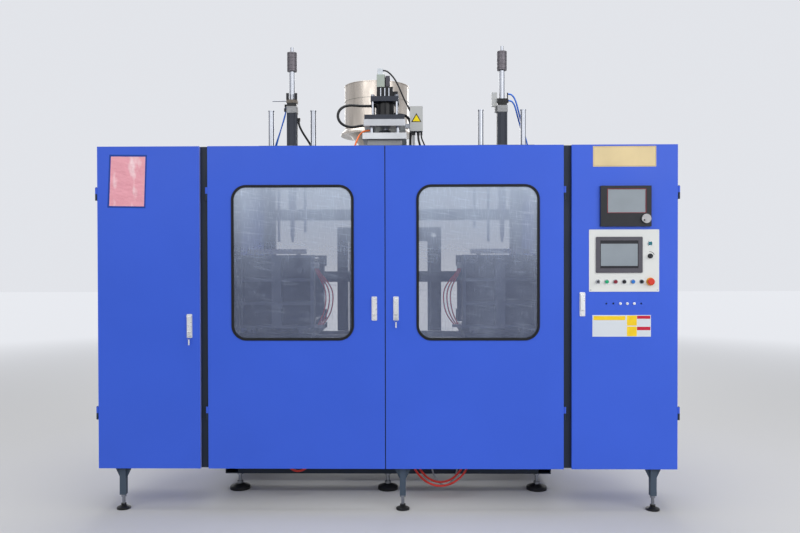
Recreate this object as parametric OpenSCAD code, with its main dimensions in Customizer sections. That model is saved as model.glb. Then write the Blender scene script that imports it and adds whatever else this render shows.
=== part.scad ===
// Double-station extrusion blow moulding machine with a sheet-metal front enclosure.
// Millimetres, +X to the right, +Y towards the rear, +Z up.
// The origin is on the floor below the split of the two main doors, half way from front to rear.

/* [Doors] */
// From the origin forward to the front faces of the doors
door_plane = 1630; // [1600:1:1660]
// Lower edge of the doors above the floor
door_z = 266; // [230:1:300]
// Height of every door
door_h = 2000; // [1900:1:2050]
// Width of each main door
main_door_w = 1097; // [1040:1:1120]
// Width of the left side door
left_door_w = 636; // [560:1:700]
// Width of the control door
control_door_w = 648; // [620:1:720]
// Split between the two main doors
door_split = 6; // [3:0.5:12]
// Gap between a main door and its side door, which is the width of the mullion
mullion_w = 50; // [44:1:60]
// Sheet thickness of the doors
door_skin = 2; // [1.5:0.1:3]
// Depth of the doors' folded edges
door_return = 25; // [22:1:32]
// Width of the lip at the back of the folded edges
door_lip = 14; // [8:1:20]
// Rubber gap between the doors and the front frame
door_gasket = 3; // [2:0.5:6]

/* [Windows] */
// Width of the window seal's outline
window_w = 760; // [680:1:800]
// Height of the window seal's outline
window_h = 963; // [880:1:1050]
// Corner radius of the window seal's outline
window_r = 93; // [60:1:120]
// Width of the rubber seal
seal_band = 16; // [14:1:20]
// Depth of the seal's two grooves
seal_groove = 6; // [4:0.5:6]
// How far the seal stands out on each face of the door skin
seal_proud = 5; // [3:0.5:7]
// Thickness of the acrylic pane
pane_t = 5; // [3:0.5:6]
// From the door's hinge edge to the seal's outline
window_side = 147; // [120:1:170]
// From the door's lower edge to the seal's outline
window_low = 796; // [740:1:840]

/* [Hinges] */
// Diameter of the hinge barrels
hinge_d = 15; // [13:0.5:16]
// Height of a hinge, both barrels together
hinge_h = 80; // [60:1:110]
// Diameter of the hinge pins
pin_d = 8; // [6:0.5:9]
// Gap between a barrel and the door's edge
hinge_clear = 1; // [0.8:0.1:1.5]
// Height of the lower hinges' middle above the doors' lower edge
hinge_low = 344; // [250:1:420]
// Height of the upper hinges' middle above the doors' lower edge
hinge_high = 1706; // [1600:1:1780]
// Radial clearance of every running fit
run = 0.06; // [0.03:0.01:0.09]

/* [Door locks] */
// Width of a lock's frame
lock_w = 34; // [30:1:40]
// Height of a lock's frame
lock_h = 148; // [130:1:160]
// Thickness of a lock's frame
lock_t = 4; // [3:0.5:6]
// How far a lever stands out of the door
lever_proud = 13; // [11:0.5:16]
// Width of a lever
lever_w = 24; // [20:1:25]
// Length of a lever below its pin
lever_l = 96; // [80:1:100]
// Diameter of a lever's pin
lever_pin_d = 4; // [3:0.5:5]
// Diameter of a lock's key barrel
key_barrel_d = 20; // [16:1:22]
// From a door's free edge to the middle of its lock
lock_inset = 64; // [50:1:80]
// Height of the main doors' locks above the doors' lower edge
main_lock_z = 994; // [900:1:1100]
// Height of the left door's lock above the doors' lower edge
left_lock_z = 887; // [800:1:980]
// Height of the control door's lock above the doors' lower edge
control_lock_z = 1019; // [960:1:1060]

/* [Front frame] */
// Side of the front frame's square tube
tube_s = 50; // [40:1:60]
// Wall of the front frame's tube
tube_wall = 3; // [2:0.5:4]
// Side of the legs' square tube
leg_s = 38; // [34:1:42]
// From the end of the frame to the outer legs' middle
leg_inset = 135; // [110:1:170]
// Place of the middle leg
mid_leg_x = 106; // [60:1:150]
// Lower end of the legs above the floor
leg_z = 96; // [80:1:120]
// Width of a leg's gusset
gusset_w = 37; // [30:1:45]
// Height of a leg's gusset
gusset_h = 77; // [60:1:90]
// Depth of the two side cabinets
cabinet_d = 400; // [340:1:460]
// Sheet thickness of cabinets and guards
sheet_t = 3; // [2:0.5:4]

/* [Base frame] */
// From the doors' front faces to the front of the base frame
base_setback = 430; // [410:1:440]
// Length of the base frame
base_len = 1470; // [1440:1:1560]
// Side of the base frame's square tube
beam_s = 90; // [80:1:92]
// Wall of the base frame's square tube
beam_wall = 6; // [4:0.5:8]
// Height of the underside of the base frame, and so of the machine feet
foot_h = 115; // [100:1:130]
// Top of the beams under the shuttle rails
deck_z = 960; // [940:1:975]
// Top of the base frame's upper ring
ring_z = 2250; // [2230:1:2260]
// Gap between the two gantry beams
gantry_gap = 320; // [310:1:340]
// Top of the rear tie that is seen through the windows
rear_tie_z = 1460; // [1420:1:1500]
// Diameter of a machine foot's pad
foot_pad_d = 137; // [120:1:150]
// Diameter of a front leg's pad
leg_pad_d = 84; // [70:1:95]
// Diameter of the machine feet's spindles
foot_rod_d = 24; // [20:1:28]
// Diameter of the front legs' spindles
leg_rod_d = 20; // [16:1:22]
// Length of the extruder stand behind the base frame
stand_len = 1350; // [1300:1:1400]
// Width of the extruder stand
stand_w = 900; // [860:1:1000]

/* [Shuttle] */
// Place of each clamp unit left and right of the split
station_x = 780; // [770:1:790]
// From the doors' front faces to the front shuttle rail
rail_setback = 700; // [690:1:715]
// Distance between the two shuttle rails
rail_gap = 540; // [520:1:560]
// Width of a shuttle rail
rail_w = 45; // [38:1:52]
// Height of a shuttle rail
rail_h = 45; // [40:1:50]
// Clearance between rails and their blocks
slide_clear = 0.3; // [0.2:0.1:0.5]
// Gap between the top of the rails and the carriage plate
carriage_gap = 5; // [3:0.5:8]
// Thickness of the carriage plate
carriage_t = 40; // [30:1:46]
// Width of the carriage plate
carriage_w = 500; // [480:1:510]
// Travel of the left carriage to the die
left_travel = 750; // [740:1:755]
// Travel of the right carriage, from its outer end to the die
right_travel = 862; // [850:1:870]
// Outside diameter of the shift cylinders
shift_d = 80; // [70:1:84]
// Wall of the shift cylinders
shift_wall = 8; // [6:1:10]
// Diameter of the shift cylinders' rods
shift_rod_d = 32; // [26:1:36]

/* [Clamp] */
// From the doors' front faces to the front platens
platen_setback = 600; // [592:1:608]
// Width of a platen
platen_w = 524; // [510:1:530]
// Height of a platen
platen_h = 512; // [490:1:520]
// Thickness of a front platen
platen_t = 80; // [70:1:90]
// Solid web behind the front platen's ribs
platen_web = 30; // [24:1:36]
// Thickness of a rear platen
rear_platen_t = 60; // [54:1:66]
// Outer ribs of a platen
edge_rib = 24; // [18:1:30]
// Upright rib in the middle of a platen
mid_rib = 68; // [50:1:80]
// Level ribs of a platen
row_rib = 20; // [14:1:26]
// Corner radius of the pockets between the ribs
pocket_r = 10; // [6:1:16]
// Free distance between the platens at rest
daylight = 520; // [500:1:540]
// Travel of each platen towards the mould's middle
closing_travel = 100; // [80:1:102]
// Gap between the rear platen and the end plate at rest
end_gap = 100; // [90:1:104]
// Thickness of the end plate
end_plate_t = 50; // [40:1:54]
// Diameter of the tie bars
tie_d = 45; // [38:1:50]
// From a platen's edge to the middle of a tie bar
tie_inset = 38; // [34:1:44]
// Outside diameter of the closing cylinder
close_d = 150; // [130:1:170]
// Wall of the closing cylinder
close_wall = 18; // [14:1:22]
// Diameter of the closing cylinder's rod
close_rod_d = 56; // [45:1:60]
// Thickness of the pistons
piston_t = 34; // [30:1:36]
// Height of the shoes that carry the platens
shoe_h = 32; // [28:1:36]
// Width of the rails under the platens
way_w = 30; // [26:1:36]
// Distance of those rails from the carriage's middle
way_x = 180; // [160:1:190]
// Level distance between the mould screw holes
mould_hole_x = 200; // [180:1:220]
// Upright distance between the mould screw holes
mould_hole_z = 300; // [280:1:320]
// Diameter of the mould screw holes
mould_hole_d = 14; // [12:0.5:16]

/* [Blow units] */
// Place of the left blow unit's axis
blow_left_x = -718; // [-730:1:-700]
// Place of the right blow unit's axis
blow_right_x = 832; // [820:1:836]
// Side of the blow cylinders' profile
blow_s = 78; // [74:1:84]
// Bore of the blow cylinders
blow_bore_d = 62; // [56:1:64]
// Height of a blow cylinder from its bracket to the top of its head
blow_h = 322; // [318:1:340]
// Diameter of the blow rods
blow_rod_d = 40; // [34:1:42]
// Diameter of the guide posts
post_d = 40; // [32:1:44]
// Distance of the guide posts from the rod
post_x = 156; // [146:1:166]
// Downward travel of the blow pins
blow_travel = 200; // [150:1:202]
// Top of the guide posts
post_top_z = 2658; // [2620:1:2700]
// Lower end of the stop sleeve
sleeve_z = 2954; // [2950:1:3000]
// Length of the stop sleeve
sleeve_h = 138; // [130:1:150]
// Diameter of the stop sleeve
sleeve_d = 72; // [64:1:76]
// Lower end of the blow pin
blow_pin_z = 1690; // [1670:1:1720]
// Diameter of the blow pin
blow_pin_d = 32; // [26:1:36]
// Thickness of the bracket plates on the gantry
bracket_t = 30; // [24:1:36]
// Width of the bracket plates
bracket_w = 400; // [390:1:430]

/* [Extrusion head] */
// Place of the die's axis
head_x = -30; // [-40:1:-20]
// Diameter of the head's body
head_d = 240; // [220:1:260]
// Lower end of the head's body
head_low_z = 1900; // [1880:1:1930]
// Lower end of the die
die_z = 1705; // [1690:1:1730]
// Diameter of the die's lower end
die_d = 110; // [100:1:120]
// Bore of the head around the mandrel
head_bore_d = 66; // [60:1:72]
// Diameter of the mandrel
mandrel_d = 50; // [44:1:54]
// Side of the block above the bracket
head_block_w = 253; // [240:1:270]
// Height of the block above the bracket
head_block_h = 60; // [50:1:70]
// Side of the lower yoke plate
yoke_low_w = 318; // [305:1:325]
// Thickness of the lower yoke plate
yoke_low_t = 44; // [36:1:48]
// Length of the pillars between the yoke plates
pillar_h = 52; // [48:1:65]
// Diameter of the pillars
pillar_d = 26; // [20:1:30]
// Distance of the pillars from the axis
pillar_x = 95; // [85:1:105]
// Side of the upper yoke plate
yoke_top_w = 301; // [290:1:310]
// Thickness of the upper yoke plate
yoke_top_t = 47; // [40:1:50]
// Side of the parison cylinder's lower flange
flange_low_w = 291; // [280:1:298]
// Thickness of the parison cylinder's lower flange
flange_low_t = 34; // [28:1:40]
// Diameter of the parison cylinder
parison_d = 139; // [130:1:146]
// Height of the parison cylinder's barrel
parison_h = 106; // [96:1:116]
// Side of the parison cylinder's upper flange
flange_top_w = 204; // [198:1:214]
// Thickness of the parison cylinder's upper flange
flange_top_t = 36; // [30:1:42]
// Movement of the mandrel up and down from rest
mandrel_travel = 10; // [6:1:12]

/* [Extruder] */
// Height of the extruder's axis
screw_z = 2140; // [2130:1:2142]
// Diameter of the screw
screw_d = 65; // [60:1:68]
// Outside diameter of the barrel
barrel_d = 140; // [130:1:146]
// Thickness of the heater bands
band_t = 14; // [10:1:16]
// Width of a heater band
band_w = 150; // [130:1:170]
// Place of the feed throat behind the doors' front faces
throat_setback = 2350; // [2330:1:2370]
// Length of the gearbox
gearbox_len = 380; // [360:1:400]
// Width of the gearbox
gearbox_w = 420; // [400:1:440]
// Height of the gearbox
gearbox_h = 480; // [460:1:500]
// Diameter of the drive motor
motor_d = 360; // [340:1:370]
// Length of the drive motor
motor_len = 440; // [420:1:480]
// Diameter of the hopper
hopper_d = 586; // [540:1:600]
// Height of the hopper's straight drum
hopper_h = 398; // [380:1:420]
// Lower edge of the hopper's drum
hopper_z = 2752; // [2735:1:2770]
// Place of the hopper's axis
hopper_x = -156; // [-170:1:-140]
// Wall of the hopper
hopper_wall = 2; // [1.5:0.5:3]

/* [Controls] */
// Width of the control panel
panel_w = 429; // [420:1:450]
// Height of the control panel
panel_h = 382; // [370:1:400]
// Thickness of the control panel
panel_t = 3; // [2:0.5:4]
// From the control door's free edge to the middle of the panel
panel_x = 319; // [310:1:330]
// Lower edge of the panel above the doors' lower edge
panel_z = 1096; // [1080:1:1110]
// Width of the touch screen's bezel
screen_w = 285; // [275:1:300]
// Height of the touch screen's bezel
screen_h = 221; // [210:1:228]
// From the panel's left edge to the bezel
screen_x = 41; // [36:1:48]
// From the panel's lower edge to the bezel
screen_z = 116; // [110:1:122]
// Distance between the push buttons
button_pitch = 53.5; // [50:0.5:55]
// Height of the push buttons above the panel's lower edge
button_z = 61.5; // [56:0.5:66]
// Diameter of the push buttons' caps
button_d = 22; // [18:0.5:24]
// Outside diameter of the push buttons' collars
collar_d = 30; // [28:0.5:34]
// Travel of the push buttons
button_travel = 5; // [3:0.5:6]
// Diameter of the emergency stop's head
stop_d = 42; // [36:1:44]
// Distance of the lamp and the knob from the panel's right edge
knob_inset = 56; // [50:1:60]
// Height of the lamp above the panel's lower edge
lamp_z = 296; // [285:1:305]
// Height of the speed knob above the panel's lower edge
knob_z = 219; // [208:1:230]
// Width of the parison controller
controller_w = 310; // [290:1:320]
// Height of the parison controller
controller_h = 250; // [240:1:260]
// How far the parison controller stands out
controller_t = 18; // [14:1:24]
// From the control door's free edge to the middle of the controller
controller_x = 327; // [320:1:335]
// Lower edge of the controller above the doors' lower edge
controller_z = 1496; // [1488:1:1510]
// Diameter of the controller's dial
dial_d = 56; // [46:1:60]
// How far the dial stands out of the controller
dial_t = 16; // [12:1:20]

/* [Hidden] */
$fn = 48;

// Colours
blue = [0.30, 0.42, 0.87];
frame_grey = [0.20, 0.25, 0.32];
steel = [0.75, 0.76, 0.78];
dark = [0.10, 0.10, 0.11];

// Planes and places that several pieces share
over = 1;
door_y = -door_plane;
split_x = door_split / 2;
main_x = split_x + main_door_w;
side_x = main_x + mullion_w;
left_end = -(side_x + left_door_w);
right_end = side_x + control_door_w;
door_top = door_z + door_h;
frame_y = door_y + door_return + door_gasket;
cab_y = frame_y + tube_s;
hinge_y = hinge_d / 2;
hinge_off = hinge_d / 2 + hinge_clear;
leg_y = frame_y + tube_s / 2;
leg_xs = [left_end + leg_inset, mid_leg_x, right_end - leg_inset];

base_x = main_x;
post_in = base_x - beam_s;
base_y = door_y + base_setback;
base_back = base_y + base_len;
deck_low = deck_z - beam_s;
ring_low = ring_z - beam_s;
rail_ys = [door_y + rail_setback, door_y + rail_setback + rail_gap];
foot_xs = [-post_in, 0, post_in];
foot_ys = [base_y + beam_s / 2, base_back - beam_s / 2];

carriage_z = deck_z + rail_h + carriage_gap;
carriage_top = carriage_z + carriage_t;
platen_z = carriage_top + shoe_h;
platen_y = door_y + platen_setback;
mould_y1 = platen_y + platen_t;
mould_y2 = mould_y1 + daylight;
axis_y = mould_y1 + daylight / 2;
rear_back = mould_y2 + rear_platen_t;
end_y = rear_back + end_gap;
end_back = end_y + end_plate_t;
close_len = 2 * closing_travel + piston_t + 46;
platen_mid = platen_z + platen_h / 2;
tie_x = platen_w / 2 - tie_inset;
tie_z = platen_h / 2 - tie_inset;
carriage_y1 = platen_y - 40;
carriage_y2 = end_back + closing_travel + 40;

gantry_z = ring_z + beam_s;
gantry_y1 = axis_y - gantry_gap / 2 - beam_s;
gantry_y2 = axis_y + gantry_gap / 2;
bracket_top = gantry_z + bracket_t;
block_top = bracket_top + head_block_h;
pillar_z = block_top + yoke_low_t;
yoke_z = pillar_z + pillar_h;
flange_z = yoke_z + yoke_top_t;
parison_z = flange_z + flange_low_t;
top_flange_z = parison_z + parison_h;
manifold_z = top_flange_z + flange_top_t;

gearbox_y = door_y + throat_setback + 130;
stand_y = base_back;
stand_back = stand_y + stand_len;
gearbox_z = screw_z - 280;
barrel_y = axis_y + head_d / 2 + 70;

// Boxes and square tubes between two opposite corners
module box(lo, hi) {
    translate(lo) cube(hi - lo);
}

module tube_x(lo, hi, wall) {
    difference() {
        box(lo, hi);
        box(lo + [-over, wall, wall], hi + [over, -wall, -wall]);
    }
}

module tube_y(lo, hi, wall) {
    difference() {
        box(lo, hi);
        box(lo + [wall, -over, wall], hi + [-wall, over, -wall]);
    }
}

module tube_z(lo, hi, wall) {
    difference() {
        box(lo, hi);
        box(lo + [wall, wall, -over], hi + [-wall, -wall, over]);
    }
}

// A round bar from a point, along +X, +Y or +Z
module rod_x(at, d, len) {
    translate(at) rotate([0, 90, 0]) cylinder(d = d, h = len);
}

module rod_y(at, d, len) {
    translate(at) rotate([-90, 0, 0]) cylinder(d = d, h = len);
}

module rod_z(at, d, len) {
    translate(at) cylinder(d = d, h = len);
}

module hex_y(at, across, len) {
    translate(at) rotate([-90, 0, 0]) cylinder(d = across / cos(30), h = len, $fn = 6);
}

module hex_z(at, across, len) {
    translate(at) cylinder(d = across / cos(30), h = len, $fn = 6);
}

// A rectangle with round corners, by its middle
module round_rect(w, h, r) {
    square([w - 2 * r, h], center = true);
    square([w, h - 2 * r], center = true);
    for (x = [-1, 1], y = [-1, 1])
        translate([x * (w / 2 - r), y * (h / 2 - r)]) circle(r = r);
}

// A plate with round corners that stands upright, from y = 0 towards the rear
module upright_plate(w, h, r, t) {
    rotate([-90, 0, 0]) linear_extrude(t) round_rect(w, h, r);
}

// A flat plate with round corners, from z = 0 up
module flat_plate(w, d, r, t) {
    linear_extrude(t) round_rect(w, d, r);
}

// Hose route that is led by chosen points, and a tube along it
function unit(v) = v / norm(v);
function spline(p0, p1, p2, p3, t) = ((1 - t) ^ 3 * p0 + (3 * t ^ 3 - 6 * t ^ 2 + 4) * p1
    + (3 * t + 3 * t ^ 2 - 3 * t ^ 3 + 1) * p2 + t ^ 3 * p3) / 6;
function route(p, n) = let (
    last = len(p) - 1,
    q = [2 * p[0] - p[1], each p, 2 * p[last] - p[last - 1]])
    [for (i = [0 : last - 1], k = [0 : n - 1]) spline(q[i], q[i + 1], q[i + 2], q[i + 3], k / n), p[last]];
function ring_at(middle, along, side, d, n) = let (
    across = unit(cross(side, along)),
    up = cross(along, across))
    [for (k = [0 : n - 1]) middle + d / 2 * (across * cos(360 * k / n) + up * sin(360 * k / n))];

module hose(points, d, side, steps = 3, n = 8) {
    path = route(points, steps);
    rings = len(path);
    ends = len(points) - 1;
    along = [points[1] - points[0], for (i = [1 : rings - 2]) path[i + 1] - path[i - 1],
        points[ends] - points[ends - 1]];
    wall = [for (i = [0 : rings - 2], k = [0 : n - 1])
        [i * n + k, (i + 1) * n + k, (i + 1) * n + (k + 1) % n, i * n + (k + 1) % n]];
    first = [[for (k = [0 : n - 1]) k]];
    final = [[for (k = [n - 1 : -1 : 0]) (rings - 1) * n + k]];
    polyhedron([for (i = [0 : rings - 1]) each ring_at(path[i], unit(along[i]), side, d, n)],
        concat(wall, first, final));
}

// Doors
module door_pan(w) {
    difference() {
        box([0, 0, 0], [w, door_return, door_h]);
        box([door_skin, door_skin, door_skin],
            [w - door_skin, door_return - door_skin, door_h - door_skin]);
        box([door_lip, door_skin, door_lip], [w - door_lip, door_return + over, door_h - door_lip]);
    }
}

module door_knuckles() {
    for (z = [hinge_low, hinge_high])
        translate([-hinge_off, hinge_y, z + 0.3])
            difference() {
                union() {
                    cylinder(d = hinge_d, h = hinge_h / 2 - 0.3);
                    box([0, -hinge_y / 2, 0], [hinge_off, hinge_y / 2, hinge_h / 2 - 0.3]);
                }
                translate([0, 0, -over]) cylinder(d = pin_d + 2 * run, h = hinge_h);
            }
}

module frame_knuckle(z) {
    pivot = [-hinge_off, hinge_y, z];
    translate(pivot - [0, 0, hinge_h / 2]) cylinder(d = hinge_d, h = hinge_h / 2);
    translate(pivot - [0, 0, hinge_h / 2]) cylinder(d = pin_d, h = hinge_h + 3);
    box([-hinge_off - 4, hinge_y, z - hinge_h / 2], [-hinge_off + 5, door_return + door_gasket, z]);
}

module frame_side_leaf(z) {
    box([-hinge_off - 4, door_return + door_gasket, z - hinge_h / 2],
        [0, door_return + door_gasket + 32, z]);
}

lever_y = -(lock_t + lever_proud) / 2;
lever_r = (lever_proud - lock_t) / 2 - 0.4;
lever_top = lock_h / 2 - 14;

module lock_frame(x, z) {
    translate([x, 0, z]) {
        difference() {
            translate([0, -lock_t, 0]) upright_plate(lock_w, lock_h, 5, lock_t);
            box([-lever_w / 2 + 3, -lock_t - over, -20], [lever_w / 2 - 3, -1, 40]);
        }
        rod_y([0, -lever_proud + 2, -lock_h / 2 + 17], key_barrel_d, lever_proud);
        for (side = [-1, 1])
            box([side * (lever_w / 2 + 2.3) - 1.7, -lever_proud, lever_top - 6],
                [side * (lever_w / 2 + 2.3) + 1.7, -lock_t + 0.5, lever_top + 6]);
        rod_x([-lever_w / 2 - 2, lever_y, lever_top], lever_pin_d, lever_w + 4);
        box([-lock_w / 2 + 4, door_skin, -lock_h / 2 + 8], [lock_w / 2 - 4, door_return - 4, lock_h / 2 - 8]);
    }
}

module lever() {
    difference() {
        union() {
            rod_x([-lever_w / 2, lever_y, lever_top], 2 * lever_r, lever_w);
            box([-lever_w / 2, lever_y - lever_r, lever_top - lever_l],
                [lever_w / 2, lever_y + lever_r, lever_top]);
            rod_x([-lever_w / 2, lever_y - 1, lever_top - lever_l], 2 * lever_r, lever_w);
        }
        rod_x([-lever_w, lever_y, lever_top], lever_pin_d + 2 * run, 2 * lever_w);
    }
}

// Moves children to a door's hinge edge: side 1 has its hinges on the left, -1 on the right
module on_door(x, side) {
    translate([x, door_y, door_z]) {
        if (side > 0) children();
        else mirror([1, 0, 0]) children();
    }
}

window_x = window_side + window_w / 2;
window_z = window_low + window_h / 2;

module main_door() {
    cut = 2 * (seal_band - seal_groove) / 2;
    difference() {
        door_pan(main_door_w);
        translate([window_x, -over, window_z])
            upright_plate(window_w - cut, window_h - cut, window_r - cut / 2, door_return);
    }
    door_knuckles();
    lock_frame(main_door_w - lock_inset, main_lock_z);
}

module window_pane() {
    cut = 2 * (seal_band - seal_groove);
    translate([window_x, door_skin / 2 - pane_t / 2, window_z])
        upright_plate(window_w - cut, window_h - cut, window_r - cut / 2, pane_t);
}

module window_seal() {
    skin_cut = seal_band - seal_groove;
    translate([window_x, -seal_proud, window_z])
        difference() {
            upright_plate(window_w, window_h, window_r, door_skin + 2 * seal_proud);
            translate([0, -over, 0])
                upright_plate(window_w - 2 * seal_band, window_h - 2 * seal_band,
                    window_r - seal_band, door_skin + 2 * seal_proud + 2 * over);
            translate([0, seal_proud + door_skin / 2 - pane_t / 2, 0])
                upright_plate(window_w - 2 * skin_cut, window_h - 2 * skin_cut,
                    window_r - skin_cut, pane_t);
            translate([0, seal_proud, 0])
                difference() {
                    upright_plate(window_w + 2, window_h + 2, window_r + 1, door_skin);
                    translate([0, -over, 0])
                        upright_plate(window_w - skin_cut, window_h - skin_cut,
                            window_r - skin_cut / 2, door_skin + 2 * over);
                }
        }
}

module left_door() {
    color(blue) on_door(left_end, 1) {
        door_pan(left_door_w);
        door_knuckles();
        lock_frame(left_door_w - lock_inset, left_lock_z);
    }
}

module main_door_left() {
    color(blue) on_door(-main_x, 1) main_door();
}

module main_door_right() {
    color(blue) on_door(main_x, -1) main_door();
}

module left_window() {
    color([0.7, 0.8, 0.9, 0.4]) on_door(-main_x, 1) window_pane();
}

module right_window() {
    color([0.7, 0.8, 0.9, 0.4]) on_door(main_x, -1) window_pane();
}

module left_seal() {
    color(dark) on_door(-main_x, 1) window_seal();
}

module right_seal() {
    color(dark) on_door(main_x, -1) window_seal();
}

module left_lever() {
    color(steel) on_door(left_end, 1) translate([left_door_w - lock_inset, 0, left_lock_z]) lever();
}

module main_lever_left() {
    color(steel) on_door(-main_x, 1) translate([main_door_w - lock_inset, 0, main_lock_z]) lever();
}

module main_lever_right() {
    color(steel) on_door(main_x, -1) translate([main_door_w - lock_inset, 0, main_lock_z]) lever();
}

module control_lever() {
    color(steel) on_door(right_end, -1)
        translate([control_door_w - lock_inset, 0, control_lock_z]) lever();
}

// Control door and what it carries, placed from its free edge
module on_control(x, z) {
    translate([side_x + x, door_y, door_z + z]) children();
}

port_z = 1023;
port_pitch = 42.6;
port_xs = [for (i = [-2.5 : 2.5]) panel_x - 1 + i * port_pitch];

module control_door() {
    color(blue) difference() {
        union() {
            on_door(right_end, -1) {
                door_pan(control_door_w);
                door_knuckles();
                lock_frame(control_door_w - lock_inset, control_lock_z);
            }
            for (i = [2 : 4]) on_control(port_xs[i], port_z) {
                rod_y([0, -4, 0], 16, 4 + door_skin);
                rod_y([0, -13, 0], 7, 12);
            }
        }
        on_control(panel_x, panel_z + panel_h / 2)
            box([-panel_w / 2 + 14, -over, -panel_h / 2 + 14], [panel_w / 2 - 14, door_skin + over, panel_h / 2 - 14]);
        on_control(controller_x, controller_z + controller_h / 2)
            box([-controller_w / 2 + 14, -over, -controller_h / 2 + 14],
                [controller_w / 2 - 14, door_skin + over, controller_h / 2 - 14]);
        for (i = [0, 1, 5]) on_control(port_xs[i], port_z) rod_y([0, -over, 0], 11, 2 * over + door_skin);
    }
}

// Panel fittings: a collar on the panel with a barrel behind it, both bored for a stem
stem_d = 14;
collar_t = 3;
button_xs = [for (i = [-3 : 3]) panel_x + i * button_pitch];
knob_x = panel_x + panel_w / 2 - knob_inset;

module on_panel(x, z) {
    on_control(x, panel_z + z) translate([0, -panel_t, 0]) children();
}

module fitting(d, barrel = 30) {
    difference() {
        union() {
            rod_y([0, -collar_t, 0], d, collar_t);
            rod_y([0, -over, 0], stem_d + 6, barrel + over);
        }
        rod_y([0, -collar_t - over, 0], stem_d + 2 * run, barrel + collar_t + 2 * over);
    }
}

module control_panel() {
    color([0.93, 0.93, 0.91]) {
        difference() {
            on_control(panel_x, panel_z + panel_h / 2)
                translate([0, -panel_t, 0]) upright_plate(panel_w, panel_h, 4, panel_t);
            on_panel(panel_x - panel_w / 2 + screen_x, screen_z)
                box([10, -over, 10], [screen_w - 10, panel_t + over, screen_h - 10]);
            for (x = button_xs) on_panel(x, button_z) rod_y([0, -over, 0], stem_d + 6, panel_t + 2 * over);
            on_panel(knob_x, knob_z) rod_y([0, -over, 0], stem_d + 6, panel_t + 2 * over);
        }
        for (i = [0 : 5]) on_panel(button_xs[i], button_z) fitting(collar_d);
        on_panel(button_xs[6], button_z) fitting(stop_d + 8);
        on_panel(knob_x, knob_z) fitting(collar_d + 4);
        on_panel(knob_x, lamp_z) {
            rod_y([0, -3, 0], collar_d, 3);
            rod_y([0, -9, 0], button_d, 6.5);
        }
        for (x = [-1, 1], z = [-1, 1])
            on_panel(panel_x + x * (panel_w / 2 - 10), panel_h / 2 + z * (panel_h / 2 - 10))
                rod_y([0, -2, 0], 8, 2);
    }
}

module touch_screen() {
    color(dark) on_panel(panel_x - panel_w / 2 + screen_x, screen_z) {
        difference() {
            translate([screen_w / 2, -7, screen_h / 2]) upright_plate(screen_w, screen_h, 6, 7);
            box([26, -7 - over, 28], [screen_w - 26, -5, screen_h - 22]);
        }
        box([14, -over, 14], [screen_w - 14, 42, screen_h - 14]);
    }
}

module parison_controller() {
    color(dark) on_control(controller_x, controller_z) difference() {
        union() {
            box([-controller_w / 2, -controller_t, 0], [controller_w / 2, 0, controller_h]);
            box([-controller_w / 2 + 18, -over, 18], [controller_w / 2 - 18, 110, controller_h - 18]);
        }
        box([-controller_w / 2 + 44, -controller_t - over, 86],
            [controller_w / 2 - 36, -controller_t + 3, controller_h - 22]);
        translate([controller_w / 2 - 34, 0, 48]) rod_y([0, -controller_t - over, 0], 10 + 2 * run, 16);
    }
}

module controller_dial() {
    color(steel) on_control(controller_x + controller_w / 2 - 34, controller_z + 48) difference() {
        union() {
            rod_y([0, -controller_t - dial_t, 0], dial_d, dial_t - 0.4);
            rod_y([0, -controller_t - 1, 0], 10, 14);
        }
        rod_y([-dial_d / 4, -controller_t - dial_t - over, -dial_d / 6], 11, 4);
    }
}

module push_button(x, z) {
    on_panel(x, z) {
        rod_y([0, -collar_t - button_travel - 4.3, 0], button_d, 4);
        rod_y([0, -collar_t - button_travel - 1, 0], stem_d, 32);
    }
}

module selector(x, z) {
    on_panel(x, z) {
        rod_y([0, -8, 0], button_d, 4.6);
        box([-3.5, -20, -button_d / 2 + 1], [3.5, -7, button_d / 2 - 1]);
        rod_y([0, -4, 0], stem_d, 30);
    }
}

module green_button() {
    color([0.1, 0.6, 0.3]) push_button(button_xs[1], button_z);
}

module red_button() {
    color([0.6, 0.1, 0.1]) push_button(button_xs[2], button_z);
}

module mode_selector() {
    color(dark) selector(button_xs[3], button_z);
}

module blue_button() {
    color([0.1, 0.3, 0.8]) push_button(button_xs[4], button_z);
}

module jog_selector() {
    color(dark) selector(button_xs[5], button_z);
}

module key_switch() {
    color(steel) on_panel(button_xs[0], button_z) {
        rod_y([0, -8, 0], button_d - 2, 4.6);
        rod_y([0, -4, 0], stem_d, 30);
        box([-1.2, -16, -4], [1.2, -7, 4]);
        difference() {
            translate([-1.2, -26, 0]) rotate([0, 90, 0]) cylinder(d = 24, h = 2.4);
            translate([-1.2 - over, -30, 0]) rotate([0, 90, 0]) cylinder(d = 6, h = 2.4 + 2 * over);
        }
    }
}

module speed_knob() {
    color(dark) on_panel(knob_x, knob_z) difference() {
        union() {
            rod_y([0, -8, 0], 30, 4.6);
            rod_y([0, -22, 0], 24, 15);
            rod_y([0, -4, 0], stem_d, 30);
        }
        box([-1, -22 - over, 4], [1, -20, 13]);
    }
}

module emergency_stop() {
    color([0.8, 0.1, 0.1]) on_panel(button_xs[6], button_z) {
        translate([0, -28, 0]) rotate([-90, 0, 0]) rotate_extrude() polygon([
            [0, 0], [stop_d / 2 - 6, 0], [stop_d / 2 - 1, 3], [stop_d / 2, 8], [stop_d / 2 - 3, 14],
            [stem_d / 2 + 2, 19], [0, 19]]);
        rod_y([0, -10, 0], stem_d, 34);
    }
}

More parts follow.
